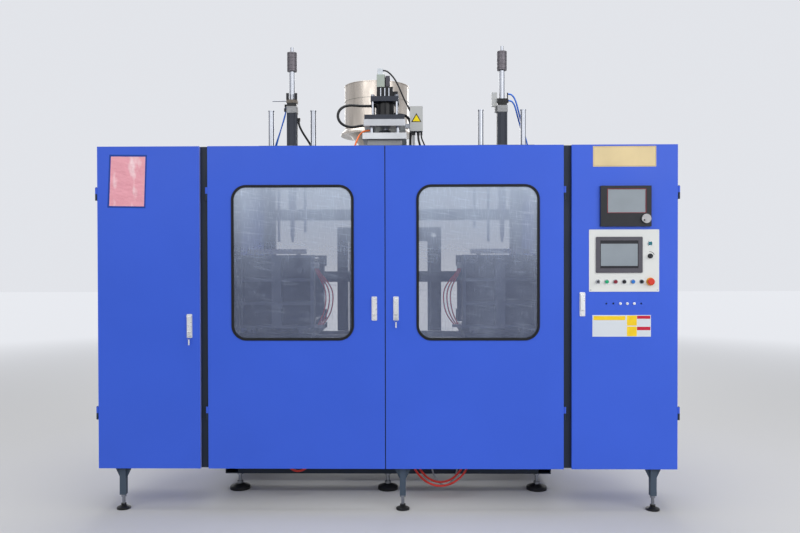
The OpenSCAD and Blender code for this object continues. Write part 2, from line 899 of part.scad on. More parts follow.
// Front frame: posts, mullions, rails, ties back to the base frame, and three legs
module leg(x) {
    tube_z([x - leg_s / 2, leg_y - leg_s / 2, leg_z], [x + leg_s / 2, leg_y + leg_s / 2, door_z], tube_wall);
    box([x - leg_s / 2, leg_y - leg_s / 2, leg_z - 6], [x + leg_s / 2, leg_y + leg_s / 2, leg_z]);
    for (side = [-1, 1])
        translate([x + side * leg_s / 2, leg_y, door_z]) rotate([90, 0, 0])
            linear_extrude(4, center = true)
                polygon([[0, 0], [side * gusset_w, 0], [0, -gusset_h]]);
}

module front_frame() {
    color(frame_grey) {
        posts = [left_end, -side_x, main_x, right_end - tube_s];
        for (x = [posts[0], posts[3]])
            tube_z([x, frame_y, door_z], [x + tube_s, frame_y + tube_s, door_top], tube_wall);
        for (x = [posts[1], posts[2]])
            tube_z([x, frame_y, door_z], [x + mullion_w, frame_y + tube_s, door_top], tube_wall);
        starts = [left_end + tube_s, -main_x, side_x];
        ends = [-side_x, main_x, right_end - tube_s];
        for (i = [0 : 2], z = [door_z, door_top - tube_s])
            tube_x([starts[i], frame_y, z], [ends[i], frame_y + tube_s, z + tube_s], tube_wall);
        for (x = [posts[1], posts[2]], z = [door_z, door_top - tube_s])
            tube_y([x, cab_y, z], [x + mullion_w, base_y + beam_s, z + tube_s], tube_wall);
        for (x = leg_xs) leg(x);
        on_door(left_end, 1) for (z = [hinge_low, hinge_high]) {
            frame_knuckle(z);
            frame_side_leaf(z);
        }
        on_door(right_end, -1) for (z = [hinge_low, hinge_high]) {
            frame_knuckle(z);
            frame_side_leaf(z);
        }
        on_door(-main_x, 1) for (z = [hinge_low, hinge_high]) frame_knuckle(z);
        on_door(main_x, -1) for (z = [hinge_low, hinge_high]) frame_knuckle(z);
    }
}

// Side cabinets, open to the front
module cabinet(x1, x2) {
    difference() {
        box([x1, cab_y, door_z], [x2, cab_y + cabinet_d, door_top]);
        box([x1 + sheet_t, cab_y - over, door_z + sheet_t],
            [x2 - sheet_t, cab_y + cabinet_d - sheet_t, door_top - sheet_t]);
    }
}

module left_cabinet() {
    plate_y = cab_y + cabinet_d - sheet_t;
    mid = (left_end - side_x) / 2;
    color(blue) cabinet(left_end, -side_x);
    color(steel) {
        box([mid - 220, plate_y - 12, door_z + 500], [mid + 220, plate_y, door_z + 1500]);
        for (row = [0 : 2]) {
            z = door_z + 620 + row * 280;
            box([mid - 180, plate_y - 62, z], [mid + 180, plate_y - 12, z + 60]);
            for (i = [0 : 6])
                box([mid - 168 + i * 50, plate_y - 112, z + 4], [mid - 132 + i * 50, plate_y - 62, z + 110]);
        }
    }
}

module control_cabinet() {
    color(blue) cabinet(side_x, right_end);
}

board_x = control_door_w / 2 - 64;
board_h = door_h - 350;
board_rows = 4;
devices = 6;

module electrical_gear() {
    mid = (side_x + right_end) / 2;
    back = cab_y + cabinet_d - sheet_t;
    row_pitch = (board_h - 210) / board_rows;
    pitch = (2 * board_x - 52) / devices;
    color([0.85, 0.55, 0.2]) {
        for (x = [60 - board_x, board_x - 60], z = [100, board_h - 150])
            rod_y([mid + x, back - 16, door_z + 150 + z], 16, 16);
        box([mid - board_x, back - 20, door_z + 150], [mid + board_x, back - 16, door_z + 150 + board_h]);
    }
    color([0.8, 0.8, 0.8]) for (row = [0 : board_rows - 1]) {
        z = door_z + 260 + row * row_pitch;
        box([mid - board_x + 20, back - 28, z], [mid + board_x - 20, back - 20, z + 35]);
        for (i = [0 : devices - 1])
            box([mid - board_x + 35 + i * pitch, back - 98 - 18 * (i % 2), z - 30],
                [mid - board_x + 17 + (i + 1) * pitch, back - 28, z + 80]);
        box([mid - board_x + 20, back - 70, z + 190], [mid + board_x - 20, back - 20, z + 240]);
    }
}

module side_guards() {
    low = door_z + tube_s;
    step = (door_h - 2 * tube_s) / 5;
    color(blue) for (side = [-1, 1]) translate([side * (base_x + sheet_t / 2), 0, low]) {
        box([-sheet_t / 2, cab_y, 0], [sheet_t / 2, base_back, door_h - 2 * tube_s]);
        for (part = [0 : 4]) translate([side * (sheet_t / 2 + 3), 0, (part + 0.5) * step])
            box([-3, cab_y + 60, -25], [3, base_back - 60, 25]);
    }
}

// Base frame, extruder stand and gantry, all of square tube
module beam_x(x1, x2, y, z) {
    tube_x([x1, y, z], [x2, y + beam_s, z + beam_s], beam_wall);
}

module beam_y(x, y1, y2, z) {
    tube_y([x, y1, z], [x + beam_s, y2, z + beam_s], beam_wall);
}

module beam_z(x, y, z1, z2) {
    tube_z([x, y, z1], [x + beam_s, y + beam_s, z2], beam_wall);
}

bar_xs = [head_x - 760, head_x - 60, head_x + 60, head_x + 640];
stand_x = stand_w / 2;
stand_mid = head_x;
deck_t = 20;

module base_frame() {
    back_y = base_back - beam_s;
    color(frame_grey) {
        for (x = [-base_x, post_in]) {
            beam_y(x, base_y, base_back, foot_h);
            beam_y(x, base_y + beam_s, back_y, deck_low);
            beam_y(x, base_y, base_back, ring_low);
            beam_z(x, base_y, foot_h + beam_s, ring_low);
            beam_z(x, back_y, foot_h + beam_s, ring_low);
        }
        for (y = [base_y, rail_ys[0] - beam_s / 2, rail_ys[1] - beam_s / 2, back_y])
            beam_x(-post_in, post_in, y, foot_h);
        for (y = rail_ys) {
            beam_x(-post_in, post_in, y - beam_s / 2, deck_low);
            beam_z(-beam_s / 2, y - beam_s / 2, foot_h + beam_s, deck_low);
        }
        beam_x(-post_in, post_in, base_y, ring_low);
        beam_x(-post_in, post_in, back_y, rear_tie_z - beam_s);
        beam_x(-post_in, post_in, back_y, screw_z - 240);
        for (y = [gantry_y1, gantry_y2]) beam_x(-base_x, base_x, y, ring_z);
        for (x = bar_xs)
            box([x - 20, rail_ys[0] + beam_s / 2, deck_low], [x + 20, rail_ys[1] - beam_s / 2, deck_low + 40]);
        extruder_stand();
    }
}

module extruder_stand() {
    x1 = stand_mid - stand_x;
    x2 = stand_mid + stand_x - beam_s;
    top = gearbox_z - deck_t - beam_s;
    mid_y = (stand_y + stand_back - beam_s) / 2;
    for (x = [x1, x2]) {
        beam_y(x, stand_y, stand_back, foot_h);
        for (y = [stand_y, stand_back - beam_s]) beam_z(x, y, foot_h + beam_s, top);
        beam_y(x, stand_y, stand_back, top);
    }
    for (y = [mid_y, stand_back - beam_s]) {
        beam_x(x1 + beam_s, x2, y, top);
        beam_x(x1 + beam_s, x2, y, foot_h);
    }
    beam_x(x1 + beam_s, x2, stand_y + 260, foot_h);
    box([x1, gearbox_y - 40, gearbox_z - deck_t], [x2 + beam_s, stand_back, gearbox_z]);
}

// Machine feet and the front legs' feet
module foot(x, y, pad_d, pad_h, rod_d, top) {
    translate([x, y, 0]) {
        rotate_extrude() polygon([[0, 0], [pad_d / 2, 0], [pad_d / 2, pad_h * 0.45], [pad_d / 2 - 4, pad_h * 0.6],
            [rod_d, pad_h], [0, pad_h]]);
        cylinder(d = rod_d, h = top);
        hex_z([0, 0, pad_h], rod_d * 1.5, rod_d * 0.7);
        hex_z([0, 0, top - rod_d * 0.7], rod_d * 1.5, rod_d * 0.7);
    }
}

module levelling_feet() {
    color([0.15, 0.15, 0.16]) {
        for (x = foot_xs, y = foot_ys) foot(x, y, foot_pad_d, 38, foot_rod_d, foot_h);
        for (x = [-1, 1])
            foot(stand_mid + x * (stand_x - beam_s / 2), stand_back - beam_s / 2, foot_pad_d, 38, foot_rod_d, foot_h);
        for (x = leg_xs) foot(x, leg_y, leg_pad_d, 20, leg_rod_d, leg_z - 6);
    }
}

// Shuttle rails and the two carriages
module slide_rails() {
    color(steel) for (y = rail_ys) {
        box([-base_x + 8, y - rail_w / 2, deck_z], [base_x - 8, y + rail_w / 2, deck_z + rail_h]);
        for (x = [-base_x + 8, base_x - 28])
            box([x, y - rail_w / 2 - 12, deck_z], [x + 20, y + rail_w / 2 + 12, deck_z + 30]);
    }
}

shift_z = deck_low + 48 + shift_d / 2;
shift_cap = 30;
end_room = 5;
lug_x = 110;
lug_t = 30;
shift_start = lug_x - lug_t / 2 - end_room;
shift_ys = [axis_y - 90, axis_y + 90];

function shift_len(travel) = travel + piston_t + 2 * (shift_cap + end_room);

module shift_cylinder(travel, y, side) {
    len = shift_len(travel);
    translate([head_x - side * shift_start, y, shift_z]) rotate([0, side > 0 ? 90 : -90, 0]) difference() {
        union() {
            cylinder(d = shift_d, h = len);
            for (z = [0, len - shift_cap])
                translate([-shift_d / 2 - 2, -shift_d / 2 - 2, z]) cube([shift_d + 4, shift_d + 4, shift_cap]);
        }
        translate([0, 0, shift_cap]) cylinder(d = shift_d - 2 * shift_wall, h = len - 2 * shift_cap);
        translate([0, 0, -over]) cylinder(d = shift_rod_d + 2 * run, h = shift_cap + 2 * over);
    }
}

module shift_cylinders() {
    color(dark) {
        shift_cylinder(left_travel, shift_ys[0], 1);
        shift_cylinder(right_travel, shift_ys[1], -1);
        for (unit = [0, 1], i = [1 - unit : 3 - unit])
            box([bar_xs[i] - 18, shift_ys[unit] - 46, deck_low + 40],
                [bar_xs[i] + 18, shift_ys[unit] + 46, shift_z - shift_d / 2 + 4]);
    }
}

module bearing_block(x, y) {
    difference() {
        box([x - 55, y - rail_w / 2 - 28, deck_z + 14], [x + 55, y + rail_w / 2 + 28, carriage_z]);
        box([x - 55 - over, y - rail_w / 2 - slide_clear, deck_z],
            [x + 55 + over, y + rail_w / 2 + slide_clear, deck_z + rail_h + slide_clear]);
    }
}

// side 1 is the left unit, whose cylinder lies to the right of its lug, and -1 the right unit
module carriage(side, rod_y0, travel) {
    lug = -side * lug_x;
    reach = station_x + side * head_x + lug_x - shift_start;
    outer = travel - (station_x + side * head_x);
    piston_x = reach + shift_cap + end_room + outer;
    color(frame_grey) {
        difference() {
            box([-carriage_w / 2, carriage_y1, carriage_z], [carriage_w / 2, carriage_y2, carriage_top]);
            for (y = [0, 1])
                translate([0, axis_y + y * 320 - 40, carriage_z - over])
                    flat_plate(160, 180, 20, carriage_t + 2 * over);
        }
        for (x = [-130, 130], y = rail_ys) bearing_block(x, y);
        box([lug - lug_t / 2, rod_y0 - 30, shift_z - 28], [lug + lug_t / 2, rod_y0 + 30, carriage_z]);
    }
    color(steel) {
        for (x = [-1, 1])
            box([x * way_x - way_w / 2, carriage_y1, carriage_top],
                [x * way_x + way_w / 2, carriage_y2, carriage_top + shoe_h - 10]);
        translate([lug, rod_y0, shift_z]) rotate([0, side > 0 ? 90 : -90, 0]) {
            cylinder(d = shift_rod_d, h = piston_x + piston_t);
            translate([0, 0, piston_x]) cylinder(d = shift_d - 2 * shift_wall - 2 * run, h = piston_t);
        }
    }
}

module left_carriage() {
    translate([-station_x, 0, 0]) carriage(1, shift_ys[0], left_travel);
}

module right_carriage() {
    translate([station_x, 0, 0]) carriage(-1, shift_ys[1], right_travel);
}

// Clamp: ribbed front platen with tie bars, end plate and closing cylinder; rear platen with the rod
pocket_w = (platen_w - 2 * edge_rib - mid_rib) / 2;
pocket_h = (platen_h - 4 * row_rib) / 3;

module pockets(depth) {
    for (x = [-1, 1], row = [-1, 0, 1])
        translate([x * (mid_rib + pocket_w) / 2, -over, row * (pocket_h + row_rib)])
            upright_plate(pocket_w, pocket_h, pocket_r, depth + over);
}

module mould_holes(y, depth) {
    for (x = [-1, 1], z = [-1, 1])
        rod_y([x * mould_hole_x / 2, y, z * mould_hole_z / 2], mould_hole_d, depth);
}

module at_ties() {
    for (x = [-1, 1], z = [-1, 1]) translate([x * tie_x, 0, z * tie_z]) children();
}

module shoes(y, t) {
    for (x = [-1, 1]) translate([x * way_x, y, -platen_h / 2 - shoe_h])
        difference() {
            box([-way_w / 2 - 18, 0, 3], [way_w / 2 + 18, t, shoe_h]);
            box([-way_w / 2 - slide_clear, -over, 0], [way_w / 2 + slide_clear, t + over, shoe_h - 10 + slide_clear]);
        }
}

module front_platen() {
    translate([0, platen_y, platen_mid]) {
        color([0.33, 0.37, 0.43]) difference() {
            box([-platen_w / 2, 0, -platen_h / 2], [platen_w / 2, platen_t, platen_h / 2]);
            pockets(platen_t - platen_web);
            mould_holes(platen_t - platen_web + 6, platen_web);
        }
        color([0.33, 0.37, 0.43]) shoes(0, platen_t);
        color(steel) {
            for (x = [-1, 1], row = [-1, 0, 1])
                hex_y([x * 165, platen_t - platen_web - 14, row * (pocket_h + row_rib)], 24, 14);
            box([-206, 20, platen_h / 2 + 8], [206, 52, platen_h / 2 + 42]);
            for (x = [-150, 150]) box([x - 15, 24, platen_h / 2], [x + 15, 48, platen_h / 2 + 8]);
            at_ties() rod_y([0, platen_t - over, 0], tie_d, end_back - mould_y1 + 34 + over);
            at_ties() hex_y([0, end_back - platen_y - over, 0], tie_d * 1.4, 26 + over);
        }
    }
    color([0.33, 0.37, 0.43]) translate([0, end_y, platen_mid]) {
        difference() {
            box([-platen_w / 2, 0, -platen_h / 2], [platen_w / 2, end_plate_t, platen_h / 2]);
            rod_y([0, -over, 0], close_rod_d + 2 * run, end_plate_t + 2 * over);
            for (x = [-1, 1]) translate([x * (platen_w / 2), -over, 0])
                upright_plate(2 * tie_inset, platen_h - 4.4 * tie_inset, 20, end_plate_t + 2 * over);
        }
        shoes(0, end_plate_t);
    }
    color(dark) translate([0, end_back, platen_mid]) difference() {
        union() {
            rod_y([0, 0, 0], close_d + 44, 24);
            rod_y([0, 0, 0], close_d, close_len);
            translate([0, close_len - 24, 0]) upright_plate(close_d + 6, close_d + 6, 14, 24);
        }
        rod_y([0, -over, 0], close_d - 2 * close_wall, close_len - 24 + over);
    }
}

module rear_platen() {
    color([0.33, 0.37, 0.43]) translate([0, mould_y2, platen_mid]) difference() {
        union() {
            box([-platen_w / 2, 0, -platen_h / 2], [platen_w / 2, rear_platen_t, platen_h / 2]);
            at_ties() rod_y([0, 0, 0], tie_d + 22, rear_platen_t + 24);
            shoes(0, rear_platen_t);
        }
        translate([0, rear_platen_t, 0]) mirror([0, 1, 0]) difference() {
            pockets(rear_platen_t - platen_web);
            at_ties() rod_y([0, -2 * over, 0], tie_d + 22, rear_platen_t);
        }
        at_ties() rod_y([0, -over, 0], tie_d + 2 * run, rear_platen_t + 40);
        mould_holes(-over, 25);
    }
    color(steel) {
        rod_y([0, rear_back, platen_mid], close_rod_d + 40, 26);
        rod_y([0, rear_back, platen_mid], close_rod_d, end_back - rear_back + close_len - 24 - 2);
        rod_y([0, end_back + close_len - 24 - 4 - piston_t, platen_mid],
            close_d - 2 * close_wall - 2 * run, piston_t);
    }
}

module left_front_platen() {
    translate([-station_x, 0, 0]) front_platen();
}

module right_front_platen() {
    translate([station_x, 0, 0]) front_platen();
}

module left_rear_platen() {
    translate([-station_x, 0, 0]) rear_platen();
}

module right_rear_platen() {
    translate([station_x, 0, 0]) rear_platen();
}

// Bracket plates on the gantry: two for the blow units and one for the head
module bracket_plates() {
    color([0.33, 0.37, 0.43]) {
        for (x = [blow_left_x, blow_right_x]) difference() {
            union() {
                box([x - bracket_w / 2, gantry_y1, gantry_z], [x + bracket_w / 2, gantry_y2 + beam_s, bracket_top]);
                for (side = [-1, 1]) rod_z([x + side * post_x, axis_y, gantry_z - 40], post_d + 26, bracket_t + 70);
            }
            for (side = [-1, 1])
                rod_z([x + side * post_x, axis_y, gantry_z - 40 - over], post_d + 2 * run, bracket_t + 70 + 2 * over);
            rod_z([x, axis_y, gantry_z - over], blow_rod_d + 10, bracket_t + 2 * over);
        }
        difference() {
            box([head_x - bracket_w / 2, gantry_y1, gantry_z],
                [head_x + bracket_w / 2, gantry_y2 + beam_s, bracket_top]);
            rod_z([head_x, axis_y, gantry_z - over], head_bore_d, bracket_t + 2 * over);
        }
    }
}

// Blow cylinders with through rods, and the slides they move
blow_foot = 32;
blow_head = 48;
neck_h = 26;
crown_h = 24;
groove_d = 8;
side_s = blow_s / 2;

module blow_cylinder() {
    barrel_h = blow_h - blow_foot - blow_head;
    difference() {
        union() {
            flat_plate(blow_s, blow_s, 6, blow_foot);
            translate([0, 0, blow_foot]) flat_plate(blow_s - 4, blow_s - 4, 12, barrel_h);
            translate([0, 0, blow_foot + barrel_h]) flat_plate(blow_s, blow_s, 6, blow_head);
            translate([0, 0, blow_h]) flat_plate(blow_s - 8, blow_s - 8, 10, neck_h);
            translate([0, 0, blow_h + neck_h]) flat_plate(blow_s, blow_s - 10, 4, crown_h);
        }
        for (turn = [0 : 90 : 270], x = [-1, 1]) rotate([0, 0, turn])
            translate([x * blow_s / 4, side_s - 1, blow_foot + over]) cylinder(d = groove_d, h = barrel_h - 2 * over);
        translate([0, 0, blow_foot]) cylinder(d = blow_bore_d, h = barrel_h);
        translate([0, 0, -over]) cylinder(d = blow_rod_d + 2 * run, h = blow_h + neck_h + crown_h + 2 * over);
    }
}

// What only one of the two cylinders carries: ears, sensor tube and elbows on the left, a valve on the right
module left_fittings() {
    top = blow_h + neck_h + crown_h;
    for (x = [-side_s, 22]) box([x, -side_s + 2, top - over], [x + 20, -side_s + 8, top + 46]);
    rod_x([-146, 0, top - 6], 8, 146 - side_s + over);
    box([-side_s - 18, 0, blow_h - 2], [-side_s + 6, 20, blow_h + 20]);
    box([-side_s - 18, -24, blow_h - 36], [-side_s + over, -4, blow_h - 12]);
    box([side_s - 4, 5, blow_h - 102], [side_s + 18, 25, blow_h - 80]);
}

module right_fittings() {
    box([-side_s - 37, -14, blow_h - 4], [-side_s + over, 14, blow_h + 98]);
    box([-side_s - 14, -10, blow_h - 48], [-side_s + over, 10, blow_h]);
    box([side_s - over, 10, blow_h + neck_h], [side_s + 8, 30, blow_h + neck_h + 74]);
    box([side_s - 6, -20, blow_h + 22], [side_s + 8, -4, blow_h + 46]);
}

module blow_cylinders() {
    color(frame_grey) {
        for (x = [blow_left_x, blow_right_x]) translate([x, axis_y, bracket_top]) blow_cylinder();
        translate([blow_left_x, axis_y, bracket_top]) left_fittings();
        translate([blow_right_x, axis_y, bracket_top]) right_fittings();
    }
}

crosshead_z = ring_low - 60;
piston_z = bracket_top + blow_h - blow_head - piston_t - 2;
pin_top = 39;

module blow_slide() {
    side_rods = [[-post_x - 49, 1792], [-post_x * 0.65, 1694], [post_x * 0.6, 1764]];
    color(steel) {
        rod_z([0, 0, crosshead_z + 50], blow_rod_d, sleeve_z + 20 - crosshead_z - 50);
        rod_z([0, 0, sleeve_z], 24, sleeve_h + pin_top);
        rod_z([0, 0, piston_z], blow_bore_d - 2 * run, piston_t);
        for (side = [-1, 1]) {
            rod_z([side * post_x, 0, crosshead_z + 50], post_d, post_top_z - crosshead_z - 50);
            rod_z([side * post_x, 0, post_top_z], post_d + 6, 6);
        }
        for (r = side_rods) {
            rod_z([r[0], 0, r[1]], 20, crosshead_z - r[1] + over);
        }
        translate([0, 0, blow_pin_z]) rotate_extrude() polygon([[0, 0], [7, 0], [blow_pin_d / 2 - 4, 40],
            [blow_pin_d / 2, 44], [blow_pin_d / 2, crosshead_z - blow_pin_z + over], [0, crosshead_z - blow_pin_z + over]]);
        difference() {
            rod_z([0, 0, crosshead_z - 220], 56, 220);
            rod_z([0, 0, crosshead_z - 220 - over], 44, 200);
        }
    }
    color(frame_grey) {
        translate([-20, 0, crosshead_z]) flat_plate(2 * post_x + 118, 96, 12, 50);
        difference() {
            rod_z([0, 0, sleeve_z], sleeve_d, sleeve_h);
            for (i = [0 : 4]) translate([0, 0, sleeve_z + 12 + i * sleeve_h / 5]) difference() {
                cylinder(d = sleeve_d + 2, h = 3);
                translate([0, 0, -over]) cylinder(d = sleeve_d - 4, h = 3 + 2 * over);
            }
        }
    }
}

module left_blow_slide() {
    translate([blow_left_x, axis_y, 0]) blow_slide();
}

module right_blow_slide() {
    translate([blow_right_x, axis_y, 0]) blow_slide();
}

// Extrusion head, from the block above the bracket down to the die
module on_axis(z) {
    translate([head_x, axis_y, z]) children();
}

module die_head() {
    flange_h = 30;
    color([0.45, 0.47, 0.5]) {
        difference() {
            union() {
                on_axis(bracket_top) flat_plate(head_block_w, head_block_w, 6, head_block_h);
                on_axis(gantry_z - flange_h) cylinder(d = head_d + 50, h = flange_h);
                on_axis(head_low_z) cylinder(d = head_d, h = gantry_z - flange_h - head_low_z);
                on_axis(head_low_z - 30) cylinder(d = head_d + 20, h = 30);
                on_axis(die_z + 55) cylinder(d1 = die_d + 20, d2 = head_d - 20, h = head_low_z - 30 - die_z - 55);
                on_axis(die_z) cylinder(d = die_d, h = 60);
                rod_y([head_x, axis_y, screw_z], 130, barrel_y - axis_y - 30);
                rod_y([head_x, barrel_y - 30, screw_z], 190, 30);
            }
            on_axis(die_z + 60) cylinder(d = head_bore_d, h = gantry_z - die_z - 60 + over);
            on_axis(bracket_top - over) cylinder(d = mandrel_d + 2 * run, h = head_block_h + 2 * over);
            on_axis(die_z - over) cylinder(d1 = 84, d2 = head_bore_d, h = 61 + over);
            rod_y([head_x, axis_y, screw_z], 50, barrel_y - axis_y + over);
        }
        for (i = [0 : 7]) on_axis(head_low_z - 30 - 12) rotate([0, 0, 22.5 + 45 * i])
            hex_z([head_d / 2 - 4, 0, 0], 19, 12);
    }
}

band_clear = 0.1;

module heater_band(d, h) {
    difference() {
        cylinder(d = d + 2 * band_t, h = h);
        translate([0, 0, -over]) cylinder(d = d + 2 * band_clear, h = h + 2 * over);
        translate([d / 2 - over, -4, -over]) cube([band_t + 2 * over, 8, h + 2 * over]);
    }
}

band_count = 5;

module heater_bands() {
    room = gearbox_y - 230 - (barrel_y + 30);
    pitch = (room - band_w) / (band_count - 1);
    color([0.6, 0.58, 0.52]) {
        for (i = [0 : band_count - 1])
            translate([head_x, barrel_y + 30 + i * pitch, screw_z]) rotate([-90, 0, 0]) rotate([0, 0, 180])
                heater_band(barrel_d, band_w);
        on_axis(head_low_z + 20) rotate([0, 0, -90]) heater_band(head_d, 130);
    }
}

module yoke_plates() {
    color(steel) {
        on_axis(block_top) difference() {
            flat_plate(yoke_low_w, yoke_low_w, 4, yoke_low_t);
            translate([0, 0, -over]) cylinder(d = mandrel_d + 6, h = yoke_low_t + 2 * over);
        }
        for (x = [-1, 1], y = [-1, 1])
            on_axis(pillar_z) translate([x * pillar_x, y * pillar_x, 0]) cylinder(d = pillar_d, h = pillar_h);
        on_axis(yoke_z) difference() {
            flat_plate(yoke_top_w, yoke_top_w, 4, yoke_top_t);
            translate([0, 0, -over]) cylinder(d = mandrel_d + 6, h = yoke_top_t + 2 * over);
        }
    }
}

parison_bore = parison_d - 28;
port_x = 107;
port_y = 22;
port_left = parison_h - 16;
port_right = 30;

module parison_cylinder() {
    color(dark) {
        on_axis(flange_z) difference() {
            union() {
                flat_plate(flange_low_w, flange_low_w, 6, flange_low_t);
                translate([0, 0, flange_low_t]) cylinder(d = parison_d, h = parison_h);
                translate([0, 0, flange_low_t + parison_h]) flat_plate(flange_top_w, flange_top_w, 6, flange_top_t);
            }
            translate([0, 0, flange_low_t]) cylinder(d = parison_bore, h = parison_h);
            translate([0, 0, -over]) cylinder(d = mandrel_d + 2 * run, h = flange_low_t + 2 * over);
        }
    }
    color(dark) on_axis(parison_z) {
        rod_x([-port_x, 0, port_left], 24, port_x - parison_bore / 2 - 4);
        rod_x([parison_bore / 2 + 2, port_y, port_right], 28, port_x - 25 - parison_bore / 2 - 2);
    }
    color(steel) for (x = [-1, 1], y = [-1, 1]) on_axis(parison_z)
        translate([x * 87, y * 87, 0]) {
            cylinder(d = 16, h = parison_h);
            hex_z([0, 0, parison_h + flange_top_t], 24, 13);
        }
}

module mandrel() {
    top = parison_z + parison_h / 2 + piston_t / 2;
    color(steel) {
        on_axis(die_z + 70) cylinder(d = mandrel_d, h = top - die_z - 70);
        on_axis(top - piston_t) cylinder(d = parison_bore - 2 * run, h = piston_t);
        on_axis(die_z + 2) cylinder(d1 = 74, d2 = mandrel_d, h = 70);
        on_axis(pillar_z + mandrel_travel + 4) cylinder(d1 = 110, d2 = 80, h = pillar_h - 2 * mandrel_travel - 8);
    }
}

manifold_h = 77;
valve_z = manifold_z + manifold_h;
valve_h = 95;
plug_h = 49;

module servo_valve() {
    color(dark) on_axis(manifold_z) {
        flat_plate(118, 110, 4, manifold_h);
        box([58, -40, 0], [96, -8, 46]);
    }
    color(steel) on_axis(valve_z) {
        translate([-30, 0, 0]) flat_plate(60, 74, 3, valve_h);
        translate([20, 0, 8]) flat_plate(34, 58, 6, valve_h - 16);
        box([-2, -25, 4], [5, 25, valve_h - 20]);
        translate([-35, 0, valve_h]) flat_plate(40, 36, 6, plug_h);
        for (x = [-30, 0, 30]) rod_z([x, -59, -manifold_h], 10, manifold_h - 10);
    }
}

box_w = 94;
box_h = 182;
box_d = 80;
box_x = head_x + 231;
box_z = 2505;
gland_h = 26;
gland_xs = [-20, 14, 37];
gland_ds = [26, 22, 16];
tilt = 30;
side_gland = [box_x - box_w / 2 + 4, axis_y, box_z + box_h - 26];
side_exit = [-sin(tilt), 0, cos(tilt)];

module junction_box() {
    color([0.8, 0.8, 0.78]) {
        translate([box_x, axis_y, box_z]) {
            translate([0, -box_d / 2, box_h / 2]) upright_plate(box_w, box_h, 5, box_d);
            for (i = [0 : 2]) rod_z([gland_xs[i], 0, -gland_h], gland_ds[i], gland_h + over);
        }
        translate(side_gland) rotate([0, -tilt, 0]) cylinder(d = 18, h = 30);
        box([head_x + yoke_top_w / 2, axis_y - 15, yoke_z + 6], [box_x - box_w / 2 + 4, axis_y + 15, yoke_z + 36]);
    }
}

// Extruder: barrel, screw, gearbox, motor, hopper and gate
throat_y = door_y + throat_setback;
throat_w = 130;
throat_top = screw_z + 150;

module extruder_barrel() {
    color(steel) difference() {
        union() {
            rod_y([head_x, barrel_y, screw_z], 190, 28);
            rod_y([head_x, barrel_y, screw_z], barrel_d, gearbox_y - barrel_y);
            rod_y([head_x, gearbox_y - 24, screw_z], 220, 24);
            box([head_x - throat_w / 2, throat_y - throat_w / 2, screw_z - 80],
                [head_x + throat_w / 2, throat_y + throat_w / 2, throat_top]);
        }
        rod_y([head_x, barrel_y - over, screw_z], screw_d + 2 * run, gearbox_y - barrel_y + 2 * over);
        rod_z([head_x, throat_y, screw_z], 60, throat_top - screw_z + over);
    }
}

flight_turns = 18;
flight_steps = 12;
flight_pitch = 70;
flight_t = 8;

module flight(root, tip) {
    n = flight_turns * flight_steps;
    section = [[root, 0], [tip, 1], [tip, flight_t - 1], [root, flight_t]];
    pts = [for (i = [0 : n], q = section) let (a = 360 * i / flight_steps)
        [q[0] * cos(a), q[1] + flight_pitch * i / flight_steps, q[0] * sin(a)]];
    sides = [for (i = [0 : n - 1], k = [0 : 3])
        [i * 4 + k, (i + 1) * 4 + k, (i + 1) * 4 + (k + 1) % 4, i * 4 + (k + 1) % 4]];
    polyhedron(pts, concat(sides, [[0, 1, 2, 3]], [[n * 4 + 3, n * 4 + 2, n * 4 + 1, n * 4]]));
}

module extruder_screw() {
    root = screw_d / 2 - 8;
    color(steel) {
        translate([head_x, barrel_y, screw_z]) {
            rod_y([0, 10, 0], 2 * root, gearbox_y - barrel_y - 10 + 60);
            rod_y([0, flight_turns * flight_pitch + 30, 0], screw_d, gearbox_y - barrel_y - flight_turns * flight_pitch - 30);
            translate([0, -14, 0]) rotate([-90, 0, 0]) cylinder(d1 = 12, d2 = 2 * root, h = 24);
            translate([0, 12, 0]) flight(root / cos(180 / flight_steps) + 0.02, screw_d / 2);
        }
    }
}

module gearbox() {
    color([0.25, 0.45, 0.35]) difference() {
        union() {
            translate([head_x, gearbox_y, gearbox_z + 24]) {
                translate([0, 0, (gearbox_h - 24) / 2]) upright_plate(gearbox_w - 40, gearbox_h - 24, 40, gearbox_len);
                for (i = [0 : 4])
                    box([-gearbox_w / 2, 40 + i * (gearbox_len - 92) / 4, 0],
                        [gearbox_w / 2, 52 + i * (gearbox_len - 92) / 4, gearbox_h * 0.7]);
            }
            box([head_x - gearbox_w / 2, gearbox_y, gearbox_z], [head_x + gearbox_w / 2, gearbox_y + gearbox_len, gearbox_z + 26]);
            rod_z([head_x, gearbox_y + gearbox_len / 2, gearbox_z + gearbox_h - over], 120, 20);
        }
        rod_y([head_x, gearbox_y - over, screw_z], screw_d + 2, 90);
    }
}

module drive_motor() {
    y = gearbox_y + gearbox_len;
    z = gearbox_z + motor_d / 2 + 26;
    color([0.3, 0.33, 0.38]) translate([head_x, y, z]) {
        rod_y([0, 0, 0], motor_d, 30);
        rod_y([0, 30, 0], motor_d - 60, motor_len - 150);
        for (i = [0 : 27]) rotate([0, 360 * i / 28, 0])
            translate([motor_d / 2 - 34, 34, -2]) cube([20, motor_len - 158, 4]);
        rod_y([0, motor_len - 124, 0], motor_d - 22, 124);
        box([-90, 60, motor_d / 2 - 40], [90, 240, motor_d / 2 + 60]);
        for (x = [-1, 1]) box([x * 130 - 30, 60, -motor_d / 2 - 26], [x * 130 + 30, motor_len - 160, -motor_d / 2 + 70]);
    }
}

gate_z = throat_top + 20;
gate_t = 8;
cone_z = throat_top + 60;

